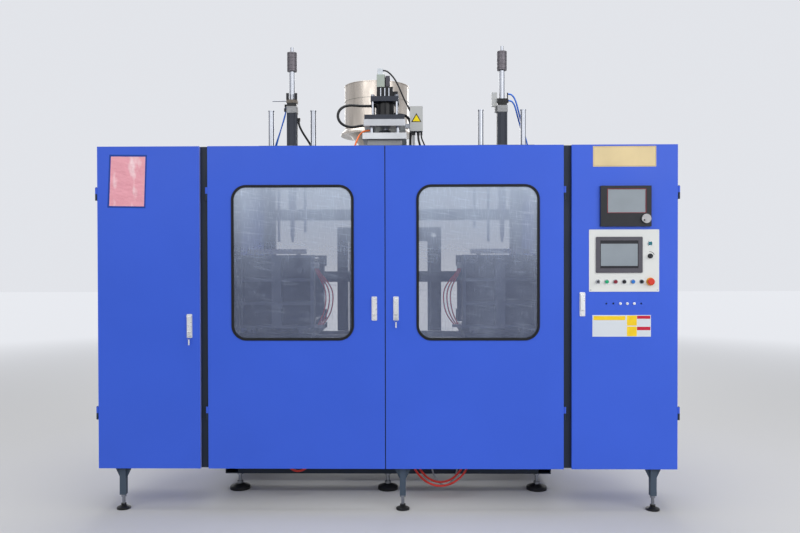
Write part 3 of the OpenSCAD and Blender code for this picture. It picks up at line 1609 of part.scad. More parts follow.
module hopper() {
    color(steel) {
        translate([head_x, throat_y, throat_top]) difference() {
            union() {
                flat_plate(throat_w + 20, throat_w + 20, 6, gate_z - throat_top);
                for (side = [-1, 1])
                    box([-throat_w / 2 - 10, side > 0 ? throat_w / 2 - 10 : -throat_w / 2 - 10, gate_z - throat_top - 1],
                        [throat_w / 2 + 10, side > 0 ? throat_w / 2 + 10 : -throat_w / 2 + 10, gate_z - throat_top + gate_t + 1]);
                translate([0, 0, gate_z - throat_top + gate_t + 0.6]) flat_plate(throat_w + 20, throat_w + 20, 6, 30);
            }
            translate([0, 0, -over]) cylinder(d = 60, h = 200);
        }
        difference() {
            union() {
                hull() {
                    translate([head_x, throat_y, cone_z - 2]) cylinder(d = 100, h = 2);
                    translate([hopper_x, throat_y, hopper_z]) cylinder(d = hopper_d, h = 0.1);
                }
                translate([hopper_x, throat_y, hopper_z - 56]) cylinder(d = hopper_d + 72, h = 16);
                translate([hopper_x, throat_y, hopper_z - 40]) cylinder(d1 = hopper_d + 72, d2 = hopper_d + 4, h = 40);
            }
            hull() {
                translate([head_x, throat_y, cone_z - 2 - over]) cylinder(d = 100 - 2 * hopper_wall - 4, h = 2);
                translate([hopper_x, throat_y, hopper_z]) cylinder(d = hopper_d - 2 * hopper_wall, h = 0.2);
            }
        }
        translate([hopper_x, throat_y, hopper_z]) {
            difference() {
                union() {
                    cylinder(d = hopper_d, h = hopper_h);
                    cylinder(d = hopper_d + 10, h = 6);
                    translate([0, 0, hopper_h - 6]) cylinder(d = hopper_d + 8, h = 6);
                }
                translate([0, 0, -over]) cylinder(d = hopper_d - 2 * hopper_wall, h = hopper_h + 2 * over);
            }
        }
    }
}

module hopper_gate() {
    color([0.8, 0.5, 0.2]) translate([head_x, throat_y, gate_z]) difference() {
        union() {
            box([-throat_w / 2, -throat_w / 2 + 10.3, 0.3], [throat_w / 2 + 85, throat_w / 2 - 10.3, gate_t]);
            rod_y([throat_w / 2 + 85, -30, gate_t / 2], 16, 60);
        }
        translate([0, 0, -over]) cylinder(d = 60, h = gate_t + 2 * over);
    }
}

// Hydraulic power unit below the extruder stand
tank_x = stand_x * 2 / 3;
tank_h = 500;
lid_t = 12;

module hydraulic_unit() {
    low = foot_h + beam_s;
    lid = low + tank_h + lid_t;
    mid_y = stand_y + stand_len / 2;
    color([0.25, 0.3, 0.38]) {
        box([head_x - tank_x, stand_y + 180, low], [head_x + tank_x, stand_back - 150, low + tank_h]);
        box([head_x - tank_x - 20, stand_y + 160, low + tank_h], [head_x + tank_x + 20, stand_back - 130, lid]);
        for (x = [-tank_x - 40, tank_x]) box([head_x + x, mid_y - 60, low], [head_x + x + 40, mid_y + 60, low + 60]);
    }
    color(dark) {
        translate([head_x - tank_x / 2, stand_y, lid]) {
            rod_y([0, 260, 150], 240, 380);
            box([-80, 300, 0], [80, 600, 48]);
            rod_y([0, 640, 150], 130, 190);
            box([-40, 700, 0], [40, 760, 98]);
        }
        translate([head_x + tank_x / 2, stand_y, lid]) {
            box([-90, 300, 0], [90, 760, 88]);
            for (i = [0 : 3]) box([-60, 320 + i * 110, 88], [60, 390 + i * 110, 168]);
        }
    }
}

// Free hoses and cables; the points of each route are chosen by hand
hang_y = base_y - 0.3;
red_loop_a = [[171, hang_y, 190], [171, hang_y - 45, 190], [186, hang_y - 110, 165], [250, hang_y - 135, 95],
    [350, hang_y - 140, 64], [450, hang_y - 135, 95], [520, hang_y - 110, 160], [538, hang_y - 45, 190],
    [538, hang_y, 190]];
red_loop_b = [[205, hang_y, 180], [205, hang_y - 40, 180], [226, hang_y - 80, 150], [280, hang_y - 95, 100],
    [350, hang_y - 95, 80], [425, hang_y - 95, 100], [482, hang_y - 80, 150], [503, hang_y - 40, 180],
    [503, hang_y, 180]];
grey_loop = [[300, hang_y, 150], [300, hang_y - 28, 150], [308, hang_y - 54, 122], [340, hang_y - 63, 72],
    [383, hang_y - 65, 50], [426, hang_y - 63, 72], [458, hang_y - 54, 122], [466, hang_y - 28, 150],
    [466, hang_y, 150]];
red_loop_c = [[-673, hang_y, 190], [-673, hang_y - 40, 190], [-645, hang_y - 80, 168],
    [-595, hang_y - 90, 150], [-545, hang_y - 80, 168], [-516, hang_y - 40, 190], [-516, hang_y, 190]];
gap = 0.3;
valve_x = head_x - port_x - gap;
valve_hose_z = parison_z + port_left;
plate_x = head_x - yoke_top_w / 2 - gap;
valve_hose = [[valve_x, axis_y, valve_hose_z], [valve_x - 60, axis_y, valve_hose_z],
    [valve_x - 110, axis_y - 2, valve_hose_z + 3], [valve_x - 163, axis_y - 8, valve_hose_z + 7],
    [valve_x - 223, axis_y - 18, valve_hose_z - 16], [valve_x - 249, axis_y - 24, valve_hose_z - 75],
    [valve_x - 223, axis_y - 20, valve_hose_z - 134], [valve_x - 163, axis_y - 10, valve_hose_z - 158],
    [valve_x - 106, axis_y - 2, valve_hose_z - 154], [plate_x - 34, axis_y, yoke_z + 26],
    [plate_x, axis_y, yoke_z + 26]];
thick_hose = [[head_x + port_x - 25 + gap, axis_y + port_y, parison_z + port_right],
    [90, axis_y + port_y, parison_z + port_right], [128, axis_y + 32, 2630], [156, axis_y + 54, 2598],
    [162, axis_y + 70, 2550], [158, axis_y + 72, 2500], [156, axis_y + 72, 2430],
    [156, axis_y + 72, bracket_top + gap]];
plug_z = valve_z + valve_h + plug_h - 12;
valve_cable = [[head_x - 15 + gap, axis_y, plug_z], [head_x + 14, axis_y, plug_z],
    [head_x + 58, axis_y, plug_z - 42], [head_x + 90, axis_y, plug_z - 92], [head_x + 118, axis_y, plug_z - 158],
    [head_x + 140, axis_y, plug_z - 210], side_gland + 58 * side_exit, side_gland + (30 + gap) * side_exit];
orange_cable = [[head_x - 108 - gap, axis_y - 95, 2500], [head_x - 136, axis_y - 95, 2500],
    [head_x - 164, axis_y - 112, 2487], [head_x - 184, axis_y - 140, 2455], [head_x - 200, axis_y - 172, 2412],
    [head_x - 210, axis_y - 198, 2372], [head_x - 212, axis_y - 204, 2350],
    [head_x - 212, axis_y - 204, gantry_z + gap]];
left_elbow = blow_left_x - side_s - 9;
left_tube_a = [[left_elbow, axis_y + 10, bracket_top + blow_h - 2 - gap], [left_elbow, axis_y + 10, 2662],
    [-785, axis_y + 20, 2605], [-812, axis_y + 38, 2520], [-838, axis_y + 48, 2440], [-846, axis_y + 50, 2400],
    [-846, axis_y + 50, bracket_top + gap]];
left_tube_b = [[left_elbow, axis_y - 14, bracket_top + blow_h - 36 - gap], [left_elbow, axis_y - 14, 2630],
    [-788, axis_y + 6, 2575], [-820, axis_y + 40, 2500], [-850, axis_y + 58, 2430], [-858, axis_y + 62, 2398],
    [-858, axis_y + 62, bracket_top + gap]];
right_port = blow_right_x + side_s + 8 + gap;
right_tube_a = [[right_port, axis_y + 20, 2784], [right_port + 18, axis_y + 20, 2784],
    [right_port + 42, axis_y + 22, 2768], [right_port + 60, axis_y + 28, 2730], [954, axis_y + 38, 2682],
    [972, axis_y + 56, 2622], [1000, axis_y + 96, 2545], [1034, axis_y + 150, 2460], [1058, axis_y + 190, 2395],
    [1063, axis_y + 204, 2362], [1063, axis_y + 204, gantry_z + gap]];
right_tube_b = [[right_port, axis_y - 12, 2728], [right_port + 18, axis_y - 12, 2728],
    [right_port + 40, axis_y - 8, 2710], [right_port + 56, axis_y + 6, 2670], [952, axis_y + 34, 2620],
    [974, axis_y + 68, 2566], [1004, axis_y + 120, 2490], [1032, axis_y + 176, 2420], [1045, axis_y + 210, 2380],
    [1047, axis_y + 222, 2356], [1047, axis_y + 222, gantry_z + gap]];
blow_hose = [[blow_left_x + side_s + 7, axis_y + 15, bracket_top + blow_h - 102 - gap],
    [blow_left_x + side_s + 7, axis_y + 15, 2566], [-654, axis_y + 22, 2522], [-624, axis_y + 40, 2474],
    [-595, axis_y + 55, 2430], [-580, axis_y + 60, 2396], [-580, axis_y + 60, bracket_top + gap]];
box_low = box_z - gland_h - gap;
box_cable_a = [[box_x + gland_xs[0], axis_y, box_low], [box_x + gland_xs[0], axis_y, 2440],
    [box_x - 18, axis_y - 12, 2385], [box_x - 16, axis_y - 55, 2325], [box_x - 16, axis_y - 118, 2297],
    [box_x - 16, gantry_y1 + beam_s + gap, 2297]];
box_cable_b = [[box_x + gland_xs[1], axis_y, box_low], [box_x + gland_xs[1], axis_y, 2450],
    [box_x + 28, axis_y + 8, 2405], [box_x + 44, axis_y + 44, 2345], [box_x + 54, axis_y + 112, 2300],
    [box_x + 54, gantry_y2 - gap, 2300]];
box_cable_c = [[box_x + gland_xs[2], axis_y, box_low], [box_x + gland_xs[2] + 1, axis_y, 2455],
    [box_x + 56, axis_y + 6, 2420], [box_x + 80, axis_y + 40, 2355], [box_x + 96, axis_y + 112, 2308],
    [box_x + 96, gantry_y2 - gap, 2308]];

module hoses() {
    ahead = [0, 1, 0];
    aslant = [1, 1, -1];
    color([0.85, 0.15, 0.1]) for (way = [red_loop_a, red_loop_b, red_loop_c]) hose(way, 14, aslant);
    color([0.6, 0.6, 0.6]) hose(grey_loop, 12, aslant);
    color(dark) {
        hose(valve_hose, 20, ahead);
        hose(thick_hose, 20, ahead);
        hose(valve_cable, 12, ahead);
        hose(blow_hose, 16, ahead);
        hose(box_cable_b, 16, [1, 0, 0]);
        hose(box_cable_c, 11, [1, 0, 0]);
    }
    color([0.6, 0.6, 0.6]) hose(box_cable_a, 20, [1, 0, 0]);
    color([0.95, 0.4, 0.1]) hose(orange_cable, 13, ahead);
    color([0.3, 0.5, 0.9]) {
        for (way = [left_tube_a, left_tube_b]) hose(way, 9, ahead);
        for (way = [right_tube_a, right_tube_b]) hose(way, 12, ahead);
    }
}

// The left unit's hoses lie before the right unit's, so that they pass each other
module platen_hoses(side) {
    x = platen_w / 2;
    y0 = platen_y + (side > 0 ? 2 : 42);
    scale([side, 1, 1]) color([0.85, 0.15, 0.1]) {
        box([x, y0, platen_z + 420], [x + 34, y0 + 36, platen_z + 460]);
        box([x, y0, platen_z + 4], [x + 70, y0 + 36, platen_z + 24]);
        for (i = [0 : 2]) {
            y = y0 + 8 + 10 * i;
            reach = 80 + 24 * i;
            hose([[x + 8 + 9 * i, y, platen_z + 420], [x + 20 + 10 * i, y, platen_z + 380],
                [x + reach, y, platen_z + 290], [x + reach + 6, y, platen_z + 190],
                [x + reach - 16, y, platen_z + 90], [x + 28 + 14 * i, y, platen_z + 24]],
                9, [0, 1, 0], 4);
        }
    }
}

module left_hoses() {
    translate([-station_x, 0, 0]) platen_hoses(1);
}

module right_hoses() {
    translate([station_x, 0, 0]) platen_hoses(-1);
}

base_frame();
levelling_feet();
front_frame();
left_cabinet();
control_cabinet();
side_guards();
slide_rails();
shift_cylinders();
bracket_plates();
blow_cylinders();
die_head();
heater_bands();
yoke_plates();
parison_cylinder();
servo_valve();
junction_box();
extruder_barrel();
gearbox();
drive_motor();
hopper();
hydraulic_unit();
electrical_gear();
hoses();
left_door();
main_door_left();
main_door_right();
control_door();
left_window();
right_window();
left_seal();
right_seal();
left_lever();
main_lever_left();
main_lever_right();
control_lever();
control_panel();
touch_screen();
parison_controller();
controller_dial();
green_button();
red_button();
blue_button();
mode_selector();
jog_selector();
key_switch();
speed_knob();
emergency_stop();
left_carriage();
right_carriage();
left_front_platen();
right_front_platen();
left_rear_platen();
right_rear_platen();
left_hoses();
right_hoses();
left_blow_slide();
right_blow_slide();
mandrel();
extruder_screw();
hopper_gate();
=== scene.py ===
"""Looks of the blow moulding machine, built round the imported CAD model.

Metres, +X to the right, +Y to the rear, +Z up.
"""

import math

import bpy
from mathutils import Euler, Matrix, Vector


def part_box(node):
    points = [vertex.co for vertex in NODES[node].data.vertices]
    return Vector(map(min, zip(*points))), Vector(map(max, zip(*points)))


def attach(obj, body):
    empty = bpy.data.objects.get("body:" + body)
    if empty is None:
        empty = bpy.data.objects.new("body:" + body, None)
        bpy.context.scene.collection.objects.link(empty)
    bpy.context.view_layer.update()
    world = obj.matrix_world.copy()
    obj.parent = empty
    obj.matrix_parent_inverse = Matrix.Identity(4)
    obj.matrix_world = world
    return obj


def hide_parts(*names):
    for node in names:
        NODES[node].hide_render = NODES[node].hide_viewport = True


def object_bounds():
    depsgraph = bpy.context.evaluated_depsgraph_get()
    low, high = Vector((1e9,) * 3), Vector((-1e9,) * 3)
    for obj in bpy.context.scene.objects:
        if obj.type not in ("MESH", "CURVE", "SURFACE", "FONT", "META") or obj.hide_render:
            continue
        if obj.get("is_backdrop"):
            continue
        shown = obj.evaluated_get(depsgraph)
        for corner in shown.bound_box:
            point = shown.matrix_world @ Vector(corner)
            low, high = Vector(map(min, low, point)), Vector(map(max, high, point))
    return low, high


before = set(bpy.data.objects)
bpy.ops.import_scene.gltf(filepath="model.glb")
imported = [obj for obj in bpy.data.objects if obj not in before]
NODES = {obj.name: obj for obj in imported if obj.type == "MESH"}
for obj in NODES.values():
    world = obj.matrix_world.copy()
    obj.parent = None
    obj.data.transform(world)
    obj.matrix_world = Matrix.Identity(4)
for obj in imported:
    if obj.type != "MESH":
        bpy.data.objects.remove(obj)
CAD_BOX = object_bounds()


def low_corner(node):
    """Lowest corner of a CAD node's box, to a tenth of a millimetre."""
    return [round(v, 4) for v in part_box(node)[0]]


def high_corner(node):
    return [round(v, 4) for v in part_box(node)[1]]


def middle(node):
    return [round((a + b) / 2, 4) for a, b in zip(*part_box(node))]


# Planes and places of the CAD model, in metres
SIDES = ("left", "right")
LOCK_OUT = 0.013  # the locks stand out of the doors
DOOR_Y = round(low_corner("main_door_left")[1] + LOCK_OUT, 4)  # front faces of the doors
DOOR_Z = low_corner("main_door_left")[2]  # lower edges of the doors
DOOR_TOP = high_corner("main_door_left")[2]
SPLIT_X = low_corner("main_door_right")[0]  # half the gap between the main doors
SIDE_X = low_corner("control_door")[0]  # inner edges of the side doors
PANEL_Y = DOOR_Y - 0.003  # front face of the control panel
HEAD_X, AXIS_Y, _ = middle("yoke_plates")  # line of the head; the blow units share its AXIS_Y
PIN_OFF = 0.020  # the blow pins stand off the middle of their crossheads
BLOW_X = {side: round(middle(side + "_blow_slide")[0] + PIN_OFF, 4) for side in SIDES}
STATION_X = {side: middle(side + "_front_platen")[0] for side in SIDES}
SHOE_H = 0.029  # the platens stand on shoes
PLATEN_Y = low_corner("left_front_platen")[1]  # front faces of the ribbed platens
PLATEN_Z = round(low_corner("left_front_platen")[2] + SHOE_H, 4)  # their lower edges
PLATEN_HALF_W = round(high_corner("right_front_platen")[0] - STATION_X["right"], 4)
PLATEN_HALF_H = 0.256
CLAMP_Z = round(PLATEN_Z + PLATEN_HALF_H, 4)  # line of the closing cylinders
HOPPER_X, THROAT_Y, _ = middle("hopper")
FLARE = 0.036  # the hopper's flare stands out of the drum
HOPPER_R = round(high_corner("hopper")[0] - HOPPER_X - FLARE, 4)
SKIN = 0.0001  # a face counts as in front of a plane from here on
ALONG = 0.9  # a face looks along an axis where its normal has this much of it

# Camera at the photograph's angle, in degrees: it looks a little down and to the left, and is hardly rolled
LOOK_DOWN, LOOK_LEFT, ROLL = 0.583, 0.8647, -0.1178
cam_data = bpy.data.cameras.new("camera")
cam_data.lens = 34.263
cam_data.sensor_width = 36.0
cam = bpy.data.objects.new("camera", cam_data)
cam.location = (0.16305, -6.33, 1.56704)
turn = Euler((math.radians(90 - LOOK_DOWN), 0, math.radians(LOOK_LEFT))).to_matrix()
cam.rotation_euler = (turn @ Matrix.Rotation(math.radians(ROLL), 3, "Z")).to_euler()
bpy.context.scene.collection.objects.link(cam)
bpy.context.scene.camera = cam
bpy.context.scene.view_settings.view_transform = "Standard"


# Materials
def srgb(r, g, b):
    """0 to 255 display values as linear colour."""
    def one(c):
        c /= 255
        return c / 12.92 if c <= 0.04045 else ((c + 0.055) / 1.055) ** 2.4
    return (one(r), one(g), one(b), 1)


class Mat:
    """A Principled material with helpers that add procedural nodes in the object's own coordinates."""

    def __init__(self, name, colour, rough=0.5, metal=0.0, **inputs):
        self.mat = bpy.data.materials.new(name)
        self.mat.use_nodes = True
        self.tree = self.mat.node_tree
        self.shader = self.tree.nodes["Principled BSDF"]
        self.colour = colour
        self.shader.inputs["Base Color"].default_value = colour
        self.shader.inputs["Roughness"].default_value = rough
        self.shader.inputs["Metallic"].default_value = metal
        for key, value in inputs.items():
            self.shader.inputs[key.replace("_", " ")].default_value = value
        self.coords = self.tree.nodes.new("ShaderNodeTexCoord").outputs["Object"]

    def node(self, kind, **values):
        n = self.tree.nodes.new("ShaderNode" + kind)
        for key, value in values.items():
            if hasattr(n, key):
                setattr(n, key, value)
            else:
                n.inputs[key.replace("_", " ")].default_value = value
        return n

    def link(self, a, b):
        self.tree.links.new(a, b)

    def noise(self, scale, detail=3.0, stretch=(1, 1, 1), rough=0.5, lean=0.0):
        """Noise, denser along an axis by its stretch and leaning by some degrees on the front."""
        m = self.node("Mapping", vector_type="TEXTURE")
        m.inputs["Scale"].default_value = tuple(1 / v for v in stretch)
        m.inputs["Rotation"].default_value = (0, math.radians(lean), 0)
        self.link(self.coords, m.inputs["Vector"])
        n = self.node("TexNoise", Scale=scale, Detail=detail, Roughness=rough)
        self.link(m.outputs[0], n.inputs["Vector"])
        return n.outputs["Fac"]

    def spread(self, value, low, high, lo=0.3, hi=0.7):
        """Spreads the span lo to hi, which most noise fills, over low to high."""
        n = self.node("MapRange")
        for key, v in (("From Min", lo), ("From Max", hi), ("To Min", low), ("To Max", high)):
            n.inputs[key].default_value = v
        self.link(value, n.inputs["Value"])
        return n.outputs["Result"]

    def blend(self, fac, a, b):
        """Colour a where fac is 0 and b where it is 1."""
        n = self.node("Mix")
        n.data_type = "RGBA"
        n.inputs[6].default_value = a
        n.inputs[7].default_value = b
        self.link(fac, n.inputs[0])
        return n.outputs[2]

    def add(self, a, b, times=1.0):
        """a * times + b, where b is an output or a number."""
        n = self.node("Math", operation="MULTIPLY_ADD")
        self.link(a, n.inputs[0])
        n.inputs[1].default_value = times
        if isinstance(b, (int, float)):
            n.inputs[2].default_value = b
        else:
            self.link(b, n.inputs[2])
        return n.outputs[0]

    def mottle(self, scale, amount, detail=3.0, stretch=(1, 1, 1)):
        """The colour drifts lighter and darker by amount."""
        c = self.colour
        dark = tuple(v * (1 - amount) for v in c[:3]) + (1,)
        light = tuple(min(1, v * (1 + amount)) for v in c[:3]) + (1,)
        fac = self.spread(self.noise(scale, detail, stretch), 0, 1)
        self.link(self.blend(fac, dark, light), self.shader.inputs["Base Color"])
        return self

    def rough_noise(self, scale, low, high, stretch=(1, 1, 1)):
        self.link(self.spread(self.noise(scale, 4, stretch), low, high), self.shader.inputs["Roughness"])
        return self

    def bump(self, scale, strength, distance, stretch=(1, 1, 1), detail=2.0):
        b = self.node("Bump", Strength=strength, Distance=distance)
        self.link(self.noise(scale, detail, stretch), b.inputs["Height"])
        self.link(b.outputs["Normal"], self.shader.inputs["Normal"])
        return self


def paint(name, rgb, rough=0.42, spot=0.05, peel=0.06, gloss=0.22):
    """Coat of paint: spot is its drift in colour and peel its orange peel."""
    return Mat(name, srgb(*rgb), rough, Specular_IOR_Level=gloss).mottle(1.7, spot) \
        .rough_noise(3.5, rough - 0.06, rough + 0.08).bump(240, peel, 0.0006).mat


def metal(name, rgb, rough, stretch=(1, 1, 1), grain=60, part=1.0):
    """Worked metal: part says how metallic it is."""
    return Mat(name, srgb(*rgb), rough, part).mottle(5, 0.08) \
        .rough_noise(grain, rough * 0.8, rough * 1.35, stretch).bump(grain * 4, 0.05, 0.0004, stretch).mat


def plastic(name, rgb, rough=0.4):
    """Moulded plastic with a fine grain."""
    return Mat(name, srgb(*rgb), rough, Specular_IOR_Level=0.2).mottle(20, 0.06).bump(600, 0.05, 0.0003).mat


def tube(name, rgb, rough=0.36):
    """Sleeve of a hose or a cable."""
    return Mat(name, srgb(*rgb), rough, Specular_IOR_Level=0.35).mottle(14, 0.08) \
        .rough_noise(30, rough - 0.05, rough + 0.1).mat


# Colours are 0 to 255 display values, as the photograph shows them under plain light
M = {
    "blue": paint("blue_paint", (60, 97, 213), 0.38, 0.03, 0.04, 0.2),
    # the lighter, glossier blue below is a painted highlight on the door edges that face right
    "edge": paint("door_edge_painted_highlight", (134, 148, 226), 0.34, 0.03, 0.04, 0.5),
    "frame": paint("frame_paint", (34, 43, 57), 0.45),
    "leg": paint("leg_paint", (68, 80, 94), 0.45),
    "casting": paint("casting_paint", (74, 82, 95), 0.5, 0.12),
    # lighter copy of the casting paint for the ribs' front faces: painted light, which leaves the pockets
    # darker as painted shade
    "rib": paint("casting_rib", (122, 131, 142), 0.5, 0.1),
    "casting_dark": paint("casting_dark_paint", (58, 62, 71), 0.45, 0.12),
    "block": metal("milled_block", (132, 133, 134), 0.46, part=0.7),
    "steel": metal("machined_steel", (146, 149, 155), 0.32),
    "bright": metal("ground_steel", (190, 192, 195), 0.36, part=0.75),
    "chrome": metal("chrome", (148, 151, 158), 0.16),
    # pale, half-metallic stand-in for chrome below: a painted sheen that makes the rods read bright in the
    # dim inside
    "rod": metal("rod_painted_sheen", (232, 230, 230), 0.3, part=0.3),
    "lock": metal("lock_chrome", (216, 217, 219), 0.3, part=0.5),
    "alu": metal("aluminium", (168, 170, 174), 0.38, (1, 1, 12)),
    "zinc": metal("zinc_plate", (160, 158, 150), 0.45),
    "stainless": Mat("stainless", srgb(190, 181, 171), 0.3, 0.75).mottle(5, 0.24, 3, (2.2, 2.2, 0.4))
    .rough_noise(20, 0.22, 0.42, (1, 1, 0.4)).bump(30, 0.06, 0.0006, (1, 1, 0.3)).mat,
    "black": paint("black_paint", (30, 31, 34), 0.36),
    "gloss_black": paint("gloss_black", (20, 21, 24), 0.2, 0.05, 0.03),
    "black_steel": metal("black_oxide", (62, 64, 69), 0.42),
    "sleeve": metal("sleeve_grey", (98, 94, 99), 0.42, part=0.6),
    "dial": metal("dial_grey", (150, 149, 151), 0.4, part=0.3),
    "crown": paint("crown_brown", (122, 114, 104), 0.5, 0.12),
    "rubber": Mat("rubber", srgb(24, 25, 28), 0.62, Specular_IOR_Level=0.2).mottle(9, 0.12)
    .bump(90, 0.1, 0.0008).mat,
    "white": paint("white_panel", (222, 224, 222), 0.42, 0.02),
    "grey_box": paint("junction_grey", (192, 194, 192), 0.5, 0.04),
    "valve": paint("valve_green_grey", (176, 186, 176), 0.42, 0.06),
    "dark_plastic": plastic("dark_plastic", (38, 39, 44), 0.42),
    "bezel": plastic("bezel_grey", (84, 82, 90), 0.4),
    "screen": Mat("screen_glass", srgb(122, 133, 142), 0.2).mottle(6, 0.07).mat,
    "screen_edge": plastic("screen_edge", (122, 34, 46), 0.35),
    "green": plastic("green_button", (22, 158, 108), 0.28),
    "red": plastic("red_button", (214, 62, 48), 0.28),
    "maroon": plastic("dark_red_button", (128, 30, 48), 0.28),
    "blue_button": plastic("blue_button", (34, 116, 202), 0.28),
    "teal": plastic("teal_lamp", (24, 108, 118), 0.26),
    "yellow": plastic("yellow_collar", (230, 168, 60), 0.4),
    "knob": plastic("knob_black", (30, 31, 38), 0.32),
    "red_hose": tube("red_hose", (216, 58, 48)),
    # lighter copy of the red hose for the platen hoses: painted light against the veil and shade over them
    "red_hose_painted_light": tube("platen_hose", (250, 62, 56)),
    "grey_hose": tube("grey_hose", (150, 152, 154), 0.4),
    "black_hose": tube("black_hose", (24, 25, 28), 0.4),
    "conduit": tube("light_conduit", (176, 178, 178), 0.45),
    "orange": tube("orange_cable", (226, 108, 42), 0.42),
    "blue_tube": tube("blue_tube", (52, 120, 222), 0.26),
    "gear": paint("gearbox_paint", (58, 98, 86), 0.45, 0.1),
    "motor": paint("motor_paint", (74, 84, 98), 0.45, 0.08),
    "mica": metal("heater_band", (158, 152, 140), 0.42, (1, 1, 1), 20),
    "tan": paint("mounting_plate", (206, 190, 150), 0.5),
    "device": plastic("device_grey", (186, 188, 186), 0.5),
    "brass": metal("brass_plate", (208, 188, 142), 0.45, (20, 1, 1), 24, 0.12),
    "brass_line": paint("plate_line", (150, 118, 74), 0.4),
    "label": paint("label_white", (214, 220, 226), 0.45, 0.02),
    "label_yellow": plastic("label_yellow", (244, 206, 42), 0.5),
    "label_red": plastic("label_red", (196, 36, 62), 0.5),
    "holder": paint("holder_edge", (14, 62, 150), 0.35, 0.08),
    "sign_yellow": plastic("sign_yellow", (250, 224, 28), 0.5),
}


# The veil on the acrylic panes. Each layer has its noise (scale, detail, stretch, roughness, lean), the
# span of the noise that counts, and its share of the veil. The layers are upright streaks, broad patches,
# fine scratches and leaning scratches.
VEIL_BASE = 0.29
VEIL_Z = (1.42, 2.04)  # it thickens between these heights
VEIL_Z_SHARE = 0.42
VEIL_LAYERS = [((2.2, 5, (3.2, 1, 0.55), 0.5, 0), (0.36, 0.74), 0.08),
               ((1.5, 3, (1, 1, 1), 0.5, 0), (0.42, 0.68), 0.06),
               ((24, 7, (7, 1, 0.6), 0.5, 0), (0.54, 0.78), 0.12),
               ((14, 8, (0.5, 1, 6), 0.62, 7), (0.54, 0.84), 0.20)]


def pane_material():
    """Scratched and hazy acrylic."""
    m = Mat("acrylic", srgb(100, 114, 132), 0.16, Specular_IOR_Level=0.3)
    place = m.node("SeparateXYZ")
    m.link(m.coords, place.inputs[0])
    veil = m.add(m.spread(place.outputs["Z"], 0.0, 1.0, *VEIL_Z), VEIL_BASE, VEIL_Z_SHARE)
    for noise, span, share in VEIL_LAYERS:
        veil = m.add(m.spread(m.noise(*noise), 0.0, 1.0, *span), veil, share)
    m.link(veil, m.shader.inputs["Alpha"])
    pale = m.blend(m.spread(veil, 0, 1, 0.34, 0.95), srgb(120, 129, 154), srgb(208, 222, 241))
    m.link(pale, m.shader.inputs["Base Color"])
    return m.mat


def paper_material():
    """Pink paper behind a clear film, with soft creases and pale painted glints along them."""
    m = Mat("pink_paper", srgb(238, 166, 178), 0.3, Specular_IOR_Level=0.3)
    m.bump(11, 0.9, 0.012, (1, 1, 1.5), 4)
    # the paler patches painted into the colour are painted highlights along the creases
    glint = m.spread(m.noise(9, 5, (1.6, 1, 0.7)), 0.0, 1.0, 0.60, 0.74)
    m.link(m.blend(glint, srgb(236, 164, 176), srgb(250, 216, 220)), m.shader.inputs["Base Color"])
    return m.mat


M["pane"] = pane_material()
M["paper"] = paper_material()


# The CAD nodes
def dress(node, default, *rules):
    """Gives a CAD node its material, and others to the faces that a rule picks by middle c and normal n."""
    o = NODES[node]
    mesh = o.data
    mesh.materials.clear()
    mesh.materials.append(M[default])
    names = [default]
    world = o.matrix_world
    rotate = world.to_3x3()
    for name, _ in rules:
        if name not in names:
            names.append(name)
            mesh.materials.append(M[name])
    for p in mesh.polygons:
        c = world @ p.center
        n = rotate @ p.normal
        p.material_index = 0
        for name, test in rules:
            if test(c, n):
                p.material_index = names.index(name)


MIN, MAX = -math.inf, math.inf
ANY = (MIN, MAX)


def inside(x=ANY, y=ANY, z=ANY):
    """Picks the faces whose middle lies in these ranges."""
    return lambda c, n: x[0] < c.x < x[1] and y[0] < c.y < y[1] and z[0] < c.z < z[1]


def above(z):
    return inside(z=(z, MAX))


def below(z):
    return inside(z=(MIN, z))


def behind(y):
    return inside(y=(y, MAX))


def near(x, z, dx, dz):
    """Picks the faces whose middle lies within dx and dz of a place on the front."""
    return lambda c, n: abs(c.x - x) < dx and abs(c.z - z) < dz


LOCK_REACH = (0.0175, 0.075)  # from the middle of a lock to its side and to its top
GAPS_X = (1.090, SIDE_X + 0.010)  # the gaps beside the main doors lie between these
PORTS_X, PORTS_Z, PORT_REACH = 1.300, 1.289, 0.012


def lock_rule(x, z):
    """The lock's frame and its barrel stand out of the door."""
    return lambda c, n: (abs(c.x - x) < LOCK_REACH[0] and abs(c.z - z) < LOCK_REACH[1]
                         and c.y < DOOR_Y - SKIN)


def edge_highlight_rule(c, n):
    """The doors' edges that face right, beside the dark gaps and at the outer end, which take a lighter,
    glossier blue as a painted highlight.
    """
    return n.x > ALONG and c.x > -GAPS_X[1] and abs(c.x) > GAPS_X[0]


def port_rule(c, n):
    """The row of ports below the control panel."""
    return abs(c.z - PORTS_Z) < PORT_REACH and c.x > PORTS_X and c.y < DOOR_Y - SKIN


LEVERS = {"left_door": "left_lever", "main_door_left": "main_lever_left",
          "main_door_right": "main_lever_right", "control_door": "control_lever"}
LEVER_RISE = 0.012  # from the middle of a lock up to the middle of its lever
LOCKS = {}
for door, lever in LEVERS.items():
    x, _, z = middle(lever)
    LOCKS[door] = (x, round(z - LEVER_RISE, 4))
# each door takes its lock, and its right-facing edges take the painted highlight
for name, (x, z) in LOCKS.items():
    ports = [("lock", port_rule)] if name == "control_door" else []
    dress(name, "blue", ("lock", lock_rule(x, z)), ("edge", edge_highlight_rule), *ports)

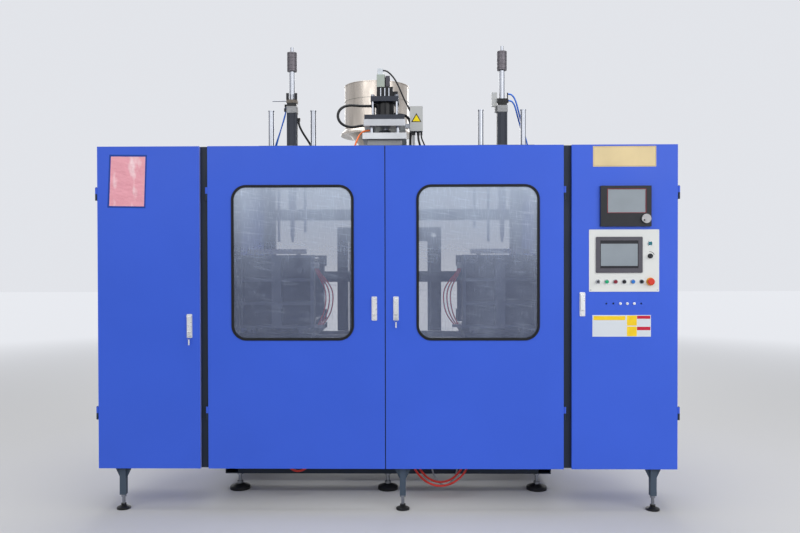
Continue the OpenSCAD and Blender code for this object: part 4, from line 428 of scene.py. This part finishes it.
for material, nodes in {
        "lock": LEVERS.values(),
        "pane": ("left_window", "right_window"),
        "rubber": ("left_seal", "right_seal"),
        "frame": ("base_frame",),
        "blue": ("control_cabinet", "side_guards"),
        "black_steel": ("shift_cylinders",),
        "casting": ("bracket_plates",),
        "mica": ("heater_bands",),
        "steel": ("slide_rails", "mandrel", "extruder_barrel", "extruder_screw"),
        "gear": ("gearbox",),
        "stainless": ("hopper",),
        "zinc": ("hopper_gate",),
        "green": ("green_button",),
        "maroon": ("red_button",),
        "blue_button": ("blue_button",),
        "knob": ("mode_selector", "jog_selector", "speed_knob"),
        "red": ("emergency_stop",)}.items():
    for node in nodes:
        dress(node, material)

dress("front_frame", "frame", ("leg", below(DOOR_Z - 0.001)))
FOOT_ROD_Z = (0.03, 0.2)
dress("levelling_feet", "black",
      ("chrome", lambda c, n: FOOT_ROD_Z[0] < c.z < FOOT_ROD_Z[1] and abs(n.z) < 0.3))

# What the cabinets hold: a plate with rails and three rows of devices on the left, more gear on the right
PLATE_PLACE = ((-1.70, -1.24), (-1.24, -1.153), (0.7, 1.8))
ROWS_PLACE = ((-1.66, -1.30), (-1.27, -1.165), (0.86, 1.6))
GEAR_PLATE_Y = -1.176
dress("left_cabinet", "blue", ("alu", inside(*PLATE_PLACE)), ("device", inside(*ROWS_PLACE)))
dress("electrical_gear", "device", ("tan", behind(GEAR_PLATE_Y)))

# Blow units: flange and collar, cap, then the fittings on top, which differ from side to side
BRACKET_TOP = low_corner("blow_cylinders")[2]
FLANGE_TOP = BRACKET_TOP + 0.0325
COLLAR_Z = 2.643
BARREL_TOP = 2.6925
BARREL_R = 0.0395
EARS_TOP = 2.7145
CAP_TOP = 2.7175
CROWN_TOP = 2.7425
SENSOR_PLACE = ((-0.9, -0.7645), ANY, (2.7285, 2.7445))
BLOCK_PLACE = ((0.7, 0.7935), ANY, (2.6875, MAX))
dress("blow_cylinders", "casting_dark",
      ("block", below(FLANGE_TOP)),
      ("block", inside(z=(COLLAR_Z, BARREL_TOP))),
      ("gloss_black", inside(z=(BARREL_TOP, CAP_TOP))),
      ("crown", inside(x=(MIN, 0), z=(CAP_TOP, MAX))),
      ("black", inside(x=(0, MAX), z=(CAP_TOP, MAX))),
      ("dark_plastic", inside(x=(MIN, 0), z=(CROWN_TOP, MAX))),
      ("steel", inside(*SENSOR_PLACE)),
      ("black", lambda c, n: abs(c.x - BLOW_X["left"]) > BARREL_R and c.z < EARS_TOP and c.x < 0),
      ("black", inside(x=(BLOW_X["right"] + BARREL_R, MAX))),
      ("grey_box", inside(*BLOCK_PLACE)))

# Extrusion head, from the die up to the servo valve and the junction box beside it
YOKE_POSTS = (2.4745, 2.5255)
PARISON_BARREL = (2.6075, 2.7125)
VALVE_LOW = 2.8265
PLUG_Z = 2.9200
DIE_TOP = 1.88
BOX_LOW, ARM_TOP, SIDE_GLAND_Z = 2.5045, 2.600, 2.645
BOX_HALF_W = 0.047
BOX_X = round(high_corner("junction_box")[0] - BOX_HALF_W, 4)
BOX_FACE_X = BOX_X - BOX_HALF_W - 0.0005  # what lies left of it are the box's fittings
dress("die_head", "casting_dark", ("block", above(BRACKET_TOP - 0.0005)), ("steel", below(DIE_TOP)))
dress("yoke_plates", "bright", ("chrome", inside(z=YOKE_POSTS)), ("alu", above(YOKE_POSTS[1])))


def post_rule(c, n):
    """The four tie posts of the parison cylinder and their nuts."""
    return (abs(abs(c.x - HEAD_X) - 0.087) < 0.013 and abs(abs(c.y - AXIS_Y) - 0.087) < 0.013
            and (PARISON_BARREL[0] < c.z < PARISON_BARREL[1] or c.z > 2.7492))


dress("parison_cylinder", "gloss_black", ("casting_dark", below(PARISON_BARREL[0])),
      ("casting_dark", above(PARISON_BARREL[1])), ("chrome", post_rule))
dress("servo_valve", "valve", ("black", below(VALVE_LOW)),
      ("chrome", inside((MIN, HEAD_X + 0.057), (MIN, AXIS_Y - 0.0556), (MIN, VALVE_LOW))),
      ("dark_plastic", inside(x=(HEAD_X - 0.0021, HEAD_X + 0.0051), z=(VALVE_LOW + 0.001, MAX))),
      ("bezel", inside(x=(HEAD_X + 0.0055, MAX), z=(VALVE_LOW + 0.001, PLUG_Z))),
      ("label", above(PLUG_Z + 0.0015)))
dress("junction_box", "grey_box", ("black", below(BOX_LOW)),
      ("black", inside(x=(MIN, BOX_FACE_X), z=(SIDE_GLAND_Z, MAX))),
      ("steel", inside(x=(MIN, BOX_FACE_X), z=(MIN, ARM_TOP))))

# Drives: the motor's fan cowl, then the pump's motor and the manifold with its valves on the tank
COWL_Y = 1.548
TANK_TOP = 0.735
VALVES_X, VALVES_Z = 0.020, 0.815
dress("drive_motor", "motor", ("casting_dark", behind(COWL_Y)))
dress("hydraulic_unit", "frame", ("motor", above(TANK_TOP)),
      ("alu", inside(x=(VALVES_X, MAX), z=(VALVES_Z, MAX))))

# Control panel: the emergency stop's collar and the lamp with its ring are part of the panel's node
STOP_X, _, STOP_Z = middle("emergency_stop")
KNOB_X, _, KNOB_Z = middle("speed_knob")
LAMP = (KNOB_X, KNOB_Z + 0.077)
SCREEN_LOW = low_corner("touch_screen")
SCREEN_HIGH = high_corner("touch_screen")
DIAL_X, _, DIAL_Z = middle("controller_dial")
WINDOW_X, WINDOW_REACH, WINDOW_Z = 1.481, 0.118, (1.840, 1.995)
KEY_FACE_Y = DOOR_Y - 0.015
dress("control_panel", "white", ("alu", inside(y=(MIN, PANEL_Y - SKIN), z=(MIN, 1.46))),
      ("yellow", near(STOP_X, STOP_Z, 0.0255, 0.0255)), ("chrome", near(*LAMP, 0.0155, 0.0155)),
      ("teal", near(*LAMP, 0.0112, 0.0112)), ("black_steel", behind(DOOR_Y + 0.001)))
dress("touch_screen", "bezel",
      ("knob", inside((SCREEN_LOW[0] + 0.0245, SCREEN_HIGH[0] - 0.0245), (DOOR_Y - 0.0098, DOOR_Y - 0.004),
                      (SCREEN_LOW[2] + 0.0265, SCREEN_HIGH[2] - 0.0205))))
dress("parison_controller", "dark_plastic",
      ("screen", lambda c, n: n.y < -ALONG and DOOR_Y - 0.0165 < c.y < DOOR_Y - 0.012
       and c.z > WINDOW_Z[0] + 0.005),
      ("screen_edge", lambda c, n: abs(n.y) < 0.5 and DOOR_Y - 0.019 < c.y < DOOR_Y - 0.012
       and abs(c.x - WINDOW_X) < WINDOW_REACH and WINDOW_Z[0] < c.z < WINDOW_Z[1]))
dress("controller_dial", "dial", ("knob", near(DIAL_X - 0.014, DIAL_Z - 0.0093, 0.006, 0.006)))
dress("key_switch", "chrome", ("knob", inside(y=(MIN, KEY_FACE_Y))))

# Clamp units and blow slides: the tie bars stand TIE_X and TIE_Z off the clamp's line
TIE_X, TIE_Z, TIE_REACH = 0.224, 0.218, 0.034
PLATEN_BACK_Y = -0.949
END_PLATE_Y = (-0.271, -0.219)
PISTON_Y = -0.369
TOP_PLATE_Z = 1.5945
WAYS_Z = 1.0505
SHIFT_Z, SHIFT_OFF, SHIFT_REACH = 0.958, 0.090, 0.034
RODS_Z = 2.3  # below it the rods of the blow slides take a pale, half-metallic copy of chrome, a painted sheen
CROSSHEAD_Z = (2.0995, 2.1505)
SLEEVE_Z = (2.9535, 3.0935)


def carriage_rule(c, n):
    """The ways on top of a carriage, and the rod and piston of its shift cylinder."""
    beside = abs(c.y - AXIS_Y)
    return c.z > WAYS_Z or (abs(beside - SHIFT_OFF) < SHIFT_REACH and abs(c.z - SHIFT_Z) < SHIFT_REACH)


def tie_rule(x0):
    """The four tie bars and their nuts, without the end plate between them."""
    return lambda c, n: (abs(abs(c.x - x0) - TIE_X) < TIE_REACH
                         and abs(abs(c.z - CLAMP_Z) - TIE_Z) < TIE_REACH
                         and c.y > PLATEN_BACK_Y and not END_PLATE_Y[0] < c.y < END_PLATE_Y[1])


def round_clamp_line(x0, reach, y):
    """What lies round the clamp's line and behind y."""
    return inside((x0 - reach, x0 + reach), (y, MAX), (CLAMP_Z - reach, CLAMP_Z + reach))


def sleeve_rule(axis_x):
    """The stop sleeve, without the rod inside it."""
    return lambda c, n: (SLEEVE_Z[0] < c.z < SLEEVE_Z[1]
                         and math.hypot(c.x - axis_x, c.y - AXIS_Y) > 0.0125)


for side, x0 in STATION_X.items():
    dress(side + "_carriage", "frame", ("steel", carriage_rule))
    dress(side + "_front_platen", "casting",
          ("chrome", tie_rule(x0)),
          ("black", round_clamp_line(x0, 0.1, END_PLATE_Y[1] - 0.0005)),
          # front faces of the ribs take the lighter copy, painted light
          ("rib", lambda c, n: n.y < -ALONG and c.y < PLATEN_Y + 0.0005),
          # what stands above the top plate takes the same painted sheen
          ("rod", above(TOP_PLATE_Z)))
    dress(side + "_rear_platen", "casting", ("chrome", round_clamp_line(x0, 0.07, PISTON_Y)))
    dress(side + "_blow_slide", "chrome",
          ("rod", below(RODS_Z)),
          ("casting_dark", inside(z=CROSSHEAD_Z)),
          ("sleeve", sleeve_rule(BLOW_X[side])))


# Cords
def spline_points(points, steps):
    """The even cubic curve that the CAD tubes follow: it starts and ends on the first and last points."""
    pts = [Vector(p) for p in points]
    q = [2 * pts[0] - pts[1], *pts, 2 * pts[-1] - pts[-2]]
    out = []
    for a, b, c, e in zip(q, q[1:], q[2:], q[3:]):
        for k in range(steps):
            t = k / steps
            out.append(((1 - t) ** 3 * a + (3 * t ** 3 - 6 * t * t + 4) * b
                        + (3 * t + 3 * t * t - 3 * t ** 3 + 1) * c + t ** 3 * e) / 6)
    out.append(pts[-1])
    return out


def make_cord(name, route, diameter, material, node, body="root"):
    """A free cord along a route, which replaces the CAD tube. Route and diameter are in millimetres."""
    pts = spline_points([[v / 1000 for v in p] for p in route], 6)
    curve = bpy.data.curves.new(name, "CURVE")
    curve.dimensions = "3D"
    curve.bevel_depth = diameter / 2000
    curve.bevel_resolution = 4
    curve.use_fill_caps = True
    line = curve.splines.new("POLY")
    line.points.add(len(pts) - 1)
    for p, v in zip(line.points, pts):
        p.co = (*v, 1)
    curve.materials.append(M[material])
    o = bpy.data.objects.new(name, curve)
    bpy.context.scene.collection.objects.link(o)
    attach(o, body)
    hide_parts(node)


# The routes of part.scad in millimetres: name, diameter, material, points. AX is the line of the heads, and
# HANG lies just in front of the base frame.
AX = round(AXIS_Y * 1000)
HANG = round(low_corner("base_frame")[1] * 1000) - 0.3
CORDS = [
    ("red_loop_a", 14, "red_hose", [
        (171, HANG, 190), (171, HANG - 45, 190), (186, HANG - 110, 165), (250, HANG - 135, 95),
        (350, HANG - 140, 64), (450, HANG - 135, 95), (520, HANG - 110, 160), (538, HANG - 45, 190),
        (538, HANG, 190)]),
    ("red_loop_b", 14, "red_hose", [
        (205, HANG, 180), (205, HANG - 40, 180), (226, HANG - 80, 150), (280, HANG - 95, 100),
        (350, HANG - 95, 80), (425, HANG - 95, 100), (482, HANG - 80, 150), (503, HANG - 40, 180),
        (503, HANG, 180)]),
    ("red_loop_c", 14, "red_hose", [
        (-673, HANG, 190), (-673, HANG - 40, 190), (-645, HANG - 80, 168), (-595, HANG - 90, 150),
        (-545, HANG - 80, 168), (-516, HANG - 40, 190), (-516, HANG, 190)]),
    ("grey_loop", 12, "grey_hose", [
        (300, HANG, 150), (300, HANG - 28, 150), (308, HANG - 54, 122), (340, HANG - 63, 72),
        (383, HANG - 65, 50), (426, HANG - 63, 72), (458, HANG - 54, 122), (466, HANG - 28, 150),
        (466, HANG, 150)]),
    ("valve_hose", 20, "black_hose", [
        (-137.3, AX, 2697), (-197.3, AX, 2697), (-247.3, AX - 2, 2700), (-300.3, AX - 8, 2704),
        (-360.3, AX - 18, 2681), (-386.3, AX - 24, 2622), (-360.3, AX - 20, 2563), (-300.3, AX - 10, 2539),
        (-243.3, AX - 2, 2543), (-214.8, AX, 2552), (-180.8, AX, 2552)]),
    ("thick_hose", 20, "black_hose", [
        (52.3, AX + 22, 2637), (90, AX + 22, 2637), (128, AX + 32, 2630), (156, AX + 54, 2598),
        (162, AX + 70, 2550), (158, AX + 72, 2500), (156, AX + 72, 2430), (156, AX + 72, 2370.3)]),
    ("valve_cable", 12, "black_hose", [
        (-44.7, AX, 2958), (-16, AX, 2958), (28, AX, 2916), (60, AX, 2866), (88, AX, 2800),
        (110, AX, 2748), (129, AX, 2711.23), (142.85, AX, 2687.24)]),
    ("orange_cable", 13, "orange", [
        (-138.3, AX - 95, 2500), (-166, AX - 95, 2500), (-194, AX - 112, 2487), (-214, AX - 140, 2455),
        (-230, AX - 172, 2412), (-240, AX - 198, 2372), (-242, AX - 204, 2350), (-242, AX - 204, 2340.3)]),
    ("left_tube_a", 9, "blue_tube", [
        (-766, AX + 10, 2689.7), (-766, AX + 10, 2662), (-785, AX + 20, 2605), (-812, AX + 38, 2520),
        (-838, AX + 48, 2440), (-846, AX + 50, 2400), (-846, AX + 50, 2370.3)]),
    ("left_tube_b", 9, "blue_tube", [
        (-766, AX - 14, 2655.7), (-766, AX - 14, 2630), (-788, AX + 6, 2575), (-820, AX + 40, 2500),
        (-850, AX + 58, 2430), (-858, AX + 62, 2398), (-858, AX + 62, 2370.3)]),
    ("right_tube_a", 12, "blue_tube", [
        (879.3, AX + 20, 2784), (897.3, AX + 20, 2784), (921.3, AX + 22, 2768), (939.3, AX + 28, 2730),
        (954, AX + 38, 2682), (972, AX + 56, 2622), (1000, AX + 96, 2545), (1034, AX + 150, 2460),
        (1058, AX + 190, 2395), (1063, AX + 204, 2362), (1063, AX + 204, 2340.3)]),
    ("right_tube_b", 12, "blue_tube", [
        (879.3, AX - 12, 2728), (897.3, AX - 12, 2728), (919.3, AX - 8, 2710), (935.3, AX + 6, 2670),
        (952, AX + 34, 2620), (974, AX + 68, 2566), (1004, AX + 120, 2490), (1032, AX + 176, 2420),
        (1045, AX + 210, 2380), (1047, AX + 222, 2356), (1047, AX + 222, 2340.3)]),
    ("blow_hose", 16, "black_hose", [
        (-672, AX + 15, 2589.7), (-672, AX + 15, 2566), (-654, AX + 22, 2522), (-624, AX + 40, 2474),
        (-595, AX + 55, 2430), (-580, AX + 60, 2396), (-580, AX + 60, 2370.3)]),
    ("box_cable_a", 20, "conduit", [
        (181, AX, 2478.7), (181, AX, 2440), (183, AX - 12, 2385), (185, AX - 55, 2325),
        (185, AX - 118, 2297), (185, AX - 159.7, 2297)]),
    ("box_cable_b", 16, "black_hose", [
        (215, AX, 2478.7), (215, AX, 2450), (229, AX + 8, 2405), (245, AX + 44, 2345),
        (255, AX + 112, 2300), (255, AX + 159.7, 2300)]),
    ("box_cable_c", 11, "black_hose", [
        (238, AX, 2478.7), (239, AX, 2455), (257, AX + 6, 2420), (281, AX + 40, 2355),
        (297, AX + 112, 2308), (297, AX + 159.7, 2308)]),
]
for name, diameter, material, route in CORDS:
    make_cord(name, route, diameter, material, "hoses")


# Pieces
def mesh_piece(name, verts, faces, material, body, smooth=False):
    """A mesh that rides on a body and takes a material slot. The floor has neither."""
    mesh = bpy.data.meshes.new(name)
    mesh.from_pydata(verts, [], faces)
    mesh.materials.append(M[material])
    if smooth:
        for p in mesh.polygons:
            p.use_smooth = True
    o = bpy.data.objects.new(name, mesh)
    bpy.context.scene.collection.objects.link(o)
    if body:
        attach(o, body)
    return o


def block(name, lo, hi, material, body):
    """A box between two corners."""
    verts = [(x, y, z) for x in (lo[0], hi[0]) for y in (lo[1], hi[1]) for z in (lo[2], hi[2])]
    faces = [(0, 1, 3, 2), (4, 6, 7, 5), (0, 4, 5, 1), (2, 3, 7, 6), (0, 2, 6, 4), (1, 5, 7, 3)]
    return mesh_piece(name, verts, faces, material, body)


def front_plate(name, x1, z1, x2, z2, depth, material, slot, thick):
    """A thin plate on the control door, placed from the door's lower inner corner.

    Its back lies depth in front of the door's face.
    """
    return block(name, (SIDE_X + x1, DOOR_Y - depth - thick, DOOR_Z + z1),
                 (SIDE_X + x2, DOOR_Y - depth, DOOR_Z + z2), material, "control")


def upright_ring(name, x, y, z, big, small, material, body):
    """A thin round ring that hangs flat against the front, with radii big and small."""
    n, k = 28, 8
    verts = []
    for i in range(n):
        a = 2 * math.pi * i / n
        for j in range(k):
            b = 2 * math.pi * j / k
            r = big + small * math.cos(b)
            verts.append((x + r * math.cos(a), y + small * math.sin(b), z + r * math.sin(a)))
    faces = [(i * k + j, i * k + (j + 1) % k, (i + 1) % n * k + (j + 1) % k, (i + 1) % n * k + j)
             for i in range(n) for j in range(k)]
    return mesh_piece(name, verts, faces, material, body, True)


def lying_band(name, x, y, z, inner, outer, high, material, body):
    """A flat band round a drum, with bevelled edges."""
    n = 96
    verts = []
    for i in range(n):
        a = 2 * math.pi * i / n
        for r, h in ((inner, 0), (outer, 0.25), (outer, 0.75), (inner, 1)):
            verts.append((x + r * math.cos(a), y + r * math.sin(a), z + high * h))
    faces = [(i * 4 + j, (i + 1) % n * 4 + j, (i + 1) % n * 4 + (j + 1) % 4, i * 4 + (j + 1) % 4)
             for i in range(n) for j in range(4)]
    return mesh_piece(name, verts, faces, material, body)


def front_arc(name, x, z, radius, width, start, end, plane, material, body):
    """A thin curved mark on a front plane, between two angles in degrees."""
    n = 14
    verts = []
    for i in range(n + 1):
        a = math.radians(start + (end - start) * i / n)
        for r in (radius - width / 2, radius + width / 2):
            for y in (plane, plane - 0.0003):
                verts.append((x + r * math.cos(a), y, z + r * math.sin(a)))
    faces = []
    for i in range(n):
        for j, k in ((0, 1), (1, 3), (3, 2), (2, 0)):
            faces.append((i * 4 + j, i * 4 + k, i * 4 + 4 + k, i * 4 + 4 + j))
    faces += [(0, 2, 3, 1), (n * 4, n * 4 + 1, n * 4 + 3, n * 4 + 2)]
    return mesh_piece(name, verts, faces, material, body)


# Platen hoses: three on the inner side of each front platen, from an upper block down to a lower one
PLATEN_HOSES = {"left": (1, 0.002), "right": (-1, 0.042)}  # where they bulge to, and how far back they start
HOSE_BLOCK_D = 0.036
for word, (side, back) in PLATEN_HOSES.items():
    body = word + "_front"
    node = word + "_hoses"
    y0 = PLATEN_Y + back
    edge = STATION_X[word] + side * PLATEN_HALF_W
    for name, wide, low, high in (("_hose_block", 0.034, 0.420, 0.460),
                                  ("_hose_base", 0.070, 0.004, 0.024)):
        x1, x2 = sorted((edge, edge + side * wide))
        piece = block(word + name, (x1, y0, PLATEN_Z + low), (x2, y0 + HOSE_BLOCK_D, PLATEN_Z + high),
                      "alu", body)
        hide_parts(node)
    for i in range(3):
        y = (y0 + 0.008 + 0.010 * i) * 1000
        reach = 80 + 24 * i
        xs = [8 + 9 * i, 20 + 10 * i, reach, reach + 6, reach - 16, 28 + 14 * i]
        zs = [420, 380, 290, 190, 90, 24]
        route = [(edge * 1000 + side * x, y, PLATEN_Z * 1000 + z) for x, z in zip(xs, zs)]
        # these hoses take the lighter red copy, painted light
        make_cord(f"{word}_platen_hose_{i}", route, 9, "red_hose_painted_light", node, body)

# Soft strips that close the gap between the two main doors
STRIP_GAP = 0.0003
for body, x1, x2 in (("main_left", -SPLIT_X, -STRIP_GAP), ("main_right", STRIP_GAP, SPLIT_X)):
    block(body + "_edge_strip", (x1, DOOR_Y + 0.003, DOOR_Z + 0.002),
          (x2, DOOR_Y + 0.020, DOOR_TOP - 0.002), "rubber", body)

# Keys in the locks of the left door and the right main door, each with a spare on its ring
for door, body in (("left_door", "left_door"), ("main_door_right", "main_right")):
    x, z = LOCKS[door]
    y = DOOR_Y - 0.0111  # front of the lock's barrel
    low = z - 0.057  # its middle
    block(door + "_key", (x - 0.0010, y - 0.012, low - 0.010), (x + 0.0010, y, low + 0.006),
          "lock", body)
    upright_ring(door + "_key_ring", x, y - 0.008, low - 0.017, 0.010, 0.0008, "steel", body)
    block(door + "_spare_key", (x - 0.0042, y - 0.0095, low - 0.060), (x + 0.0042, y - 0.0075, low - 0.0265),
          "lock", body)

# Nameplate and controller, each with its border lines: places as x1, z1, x2, z2
PLATE_T = 0.0010
front_plate("nameplate", 0.129, 1.864, 0.515, 1.990, 0, "brass", "aluminium", PLATE_T)
for name, place in (("nameplate_line_low", (0.133, 1.868, 0.511, 1.8695)),
                    ("nameplate_line_top", (0.133, 1.9845, 0.511, 1.986)),
                    ("nameplate_line_left", (0.133, 1.868, 0.1345, 1.986)),
                    ("nameplate_line_right", (0.5095, 1.868, 0.511, 1.986))):
    front_plate(name, *place, PLATE_T, "brass_line", "aluminium", 0.0002)
front_plate("screen_glass", 0.1755, 1.2545, 0.4005, 1.3905, 0.0080, "screen", "black_plastic", 0.0006)
CONTROLLER_T = 0.0180
for name, place in (("controller_line_low", (0.212, 1.5785, 0.450, 1.582)),
                    ("controller_line_top", (0.212, 1.724, 0.450, 1.7275)),
                    ("controller_line_left", (0.212, 1.582, 0.216, 1.724)),
                    ("controller_line_right", (0.446, 1.582, 0.450, 1.724))):
    front_plate(name, *place, CONTROLLER_T, "screen_edge", "black_plastic", 0.0003)
front_arc("speed_mark", KNOB_X, KNOB_Z, 0.026, 0.003, 15, 100, PANEL_Y, "knob", "control")

# Label plate with plain colour fields
LABEL_T = 0.0008
front_plate("label_plate", 0.126, 0.819, 0.484, 0.952, 0, "label", "panel_white", LABEL_T)
for name, place, material in (("label_band", (0.132, 0.921, 0.327, 0.946), "label_yellow"),
                              ("label_square_top", (0.337, 0.887, 0.3975, 0.949), "label_yellow"),
                              ("label_square_low", (0.337, 0.822, 0.3975, 0.881), "label_yellow"),
                              ("label_stripe_top", (0.399, 0.929, 0.481, 0.9477), "label_red"),
                              ("label_stripe_low", (0.399, 0.859, 0.481, 0.8796), "label_red")):
    front_plate(name, *place, LABEL_T, material, "panel_white", 0.0002)

# Seam bead of the hopper drum
BEAD_Z = round(high_corner("hopper")[2] - 0.148, 4)
lying_band("hopper_bead", HOPPER_X, THROAT_Y, BEAD_Z, HOPPER_R - 0.0005, HOPPER_R + 0.0030, 0.005,
           "zinc", "root")

# Pink sheet in its holder on the left door, a little tilted: corners as x, z from the door's lower inner one
HOLDER = [(-0.5725, 1.6225), (-0.3365, 1.6175), (-0.3245, 1.9475), (-0.5584, 1.950)]
SHEET = [(-0.561, 1.632), (-0.3443, 1.6285), (-0.3339, 1.936), (-0.5484, 1.938)]
HOLDER_T = 0.0008


def leaning_plate(name, corners, depth, thick, material):
    """A thin plate with any four corners, whose back lies depth in front of the left door."""
    back = DOOR_Y - depth
    verts = [(x - SIDE_X, y, z + DOOR_Z) for y in (back, back - thick) for x, z in corners]
    faces = [(0, 1, 2, 3), (7, 6, 5, 4), (0, 4, 5, 1), (1, 5, 6, 2), (2, 6, 7, 3), (3, 7, 4, 0)]
    return mesh_piece(name, verts, faces, material, "left_door")


leaning_plate("paper_holder", HOLDER, SKIN, HOLDER_T, "holder")
leaning_plate("pink_sheet", SHEET, SKIN + HOLDER_T, 0.0006, "paper")


# Plain yellow triangle with a black edge on the junction box, without a symbol
BOX_Y = low_corner("junction_box")[1]
SIGN_T = 0.0004


def triangle(name, half, low, top, depth, material):
    """A thin triangle that stands on its base, depth in front of the box."""
    corners = [(BOX_X - half, low), (BOX_X + half, low), (BOX_X, top)]
    verts = [(x, y, z) for y in (BOX_Y - depth, BOX_Y - depth - SIGN_T) for x, z in corners]
    faces = [(0, 1, 2), (3, 5, 4), (0, 3, 4, 1), (1, 4, 5, 2), (2, 5, 3, 0)]
    mesh_piece(name, verts, faces, material, "root")


triangle("box_triangle_edge", 0.038, 2.570, 2.636, 0.0, "knob")
triangle("box_triangle", 0.0275, 2.5755, 2.6235, SIGN_T, "sign_yellow")


# Floor and light
floor = mesh_piece("floor", [(-30, -30, -0.0006), (30, -30, -0.0006), (30, 30, -0.0006), (-30, 30, -0.0006)],
                   [(0, 1, 2, 3)], "white", None)
FAR = (0.93, 0.95, 1.0, 1)  # colour of the background
SEEN = 0.82  # its strength where it is seen
LIT = 0.28  # its strength as a light
FLOOR_GREY = (0.60, 0.60, 0.60, 1)
FLOOR_FADE = (3.2, 11.0)  # the floor runs into the background between these distances


def seen_directly(tree):
    """1 for rays from the camera, from shiny faces and through clear ones."""
    path = tree.nodes.new("ShaderNodeLightPath")
    seen = path.outputs["Is Camera Ray"]
    for way in ("Is Glossy Ray", "Is Transmission Ray"):
        either = tree.nodes.new("ShaderNodeMath")
        either.operation = "MAXIMUM"
        tree.links.new(seen, either.inputs[0])
        tree.links.new(path.outputs[way], either.inputs[1])
        seen = either.outputs[0]
    return seen


def floor_material():
    """Pale floor that keeps the object's shadow and runs into the background far away."""
    m = Mat("floor_plain", FLOOR_GREY, 0.7, Specular_IOR_Level=0.1)
    far = m.node("VectorMath", operation="LENGTH")
    m.link(m.coords, far.inputs[0])
    fade = m.spread(far.outputs["Value"], 0, 1, *FLOOR_FADE)
    m.link(m.blend(fade, FLOOR_GREY, (0, 0, 0, 1)), m.shader.inputs["Base Color"])
    m.shader.inputs["Emission Color"].default_value = FAR
    both = m.node("Math", operation="MULTIPLY")
    m.link(fade, both.inputs[0])
    m.link(seen_directly(m.tree), both.inputs[1])
    m.link(m.add(both.outputs[0], 0, SEEN), m.shader.inputs["Emission Strength"])
    return m.mat


floor.data.materials[0] = floor_material()
floor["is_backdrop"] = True

# Lamps: name, place, target, size, watts
for name, at, target, size, power in (("key", (-3.5, -7.0, 4.8), (0, -1.4, 1.2), (7.0, 5.0), 190),
                                      ("fill", (4.5, -6.5, 3.6), (0, -1.4, 1.2), (7.0, 5.0), 285),
                                      ("top", (0, 0.2, 6.5), (0, 0, 1.0), (6.0, 6.0), 300),
                                      ("back", (0, 6.5, 4.0), (0, 0, 1.6), (6.0, 3.0), 200)):
    data = bpy.data.lights.new(name, "AREA")
    data.shape = "RECTANGLE"
    data.size, data.size_y = size
    data.energy = power
    o = bpy.data.objects.new(name, data)
    o.location = at
    o.rotation_euler = (Vector(target) - Vector(at)).to_track_quat("-Z", "Y").to_euler()
    bpy.context.scene.collection.objects.link(o)

world = bpy.data.worlds.new("world")
bpy.context.scene.world = world
world.use_nodes = True
tree = world.node_tree
background = tree.nodes["Background"]
background.inputs["Color"].default_value = FAR
gain = tree.nodes.new("ShaderNodeMapRange")
gain.inputs["To Min"].default_value = LIT
gain.inputs["To Max"].default_value = SEEN
tree.links.new(seen_directly(tree), gain.inputs["Value"])
tree.links.new(gain.outputs["Result"], background.inputs["Strength"])

size = {"cad": [list(CAD_BOX[0]), list(CAD_BOX[1])]}
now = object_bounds()
size["visual"] = [list(now[0]), list(now[1])]
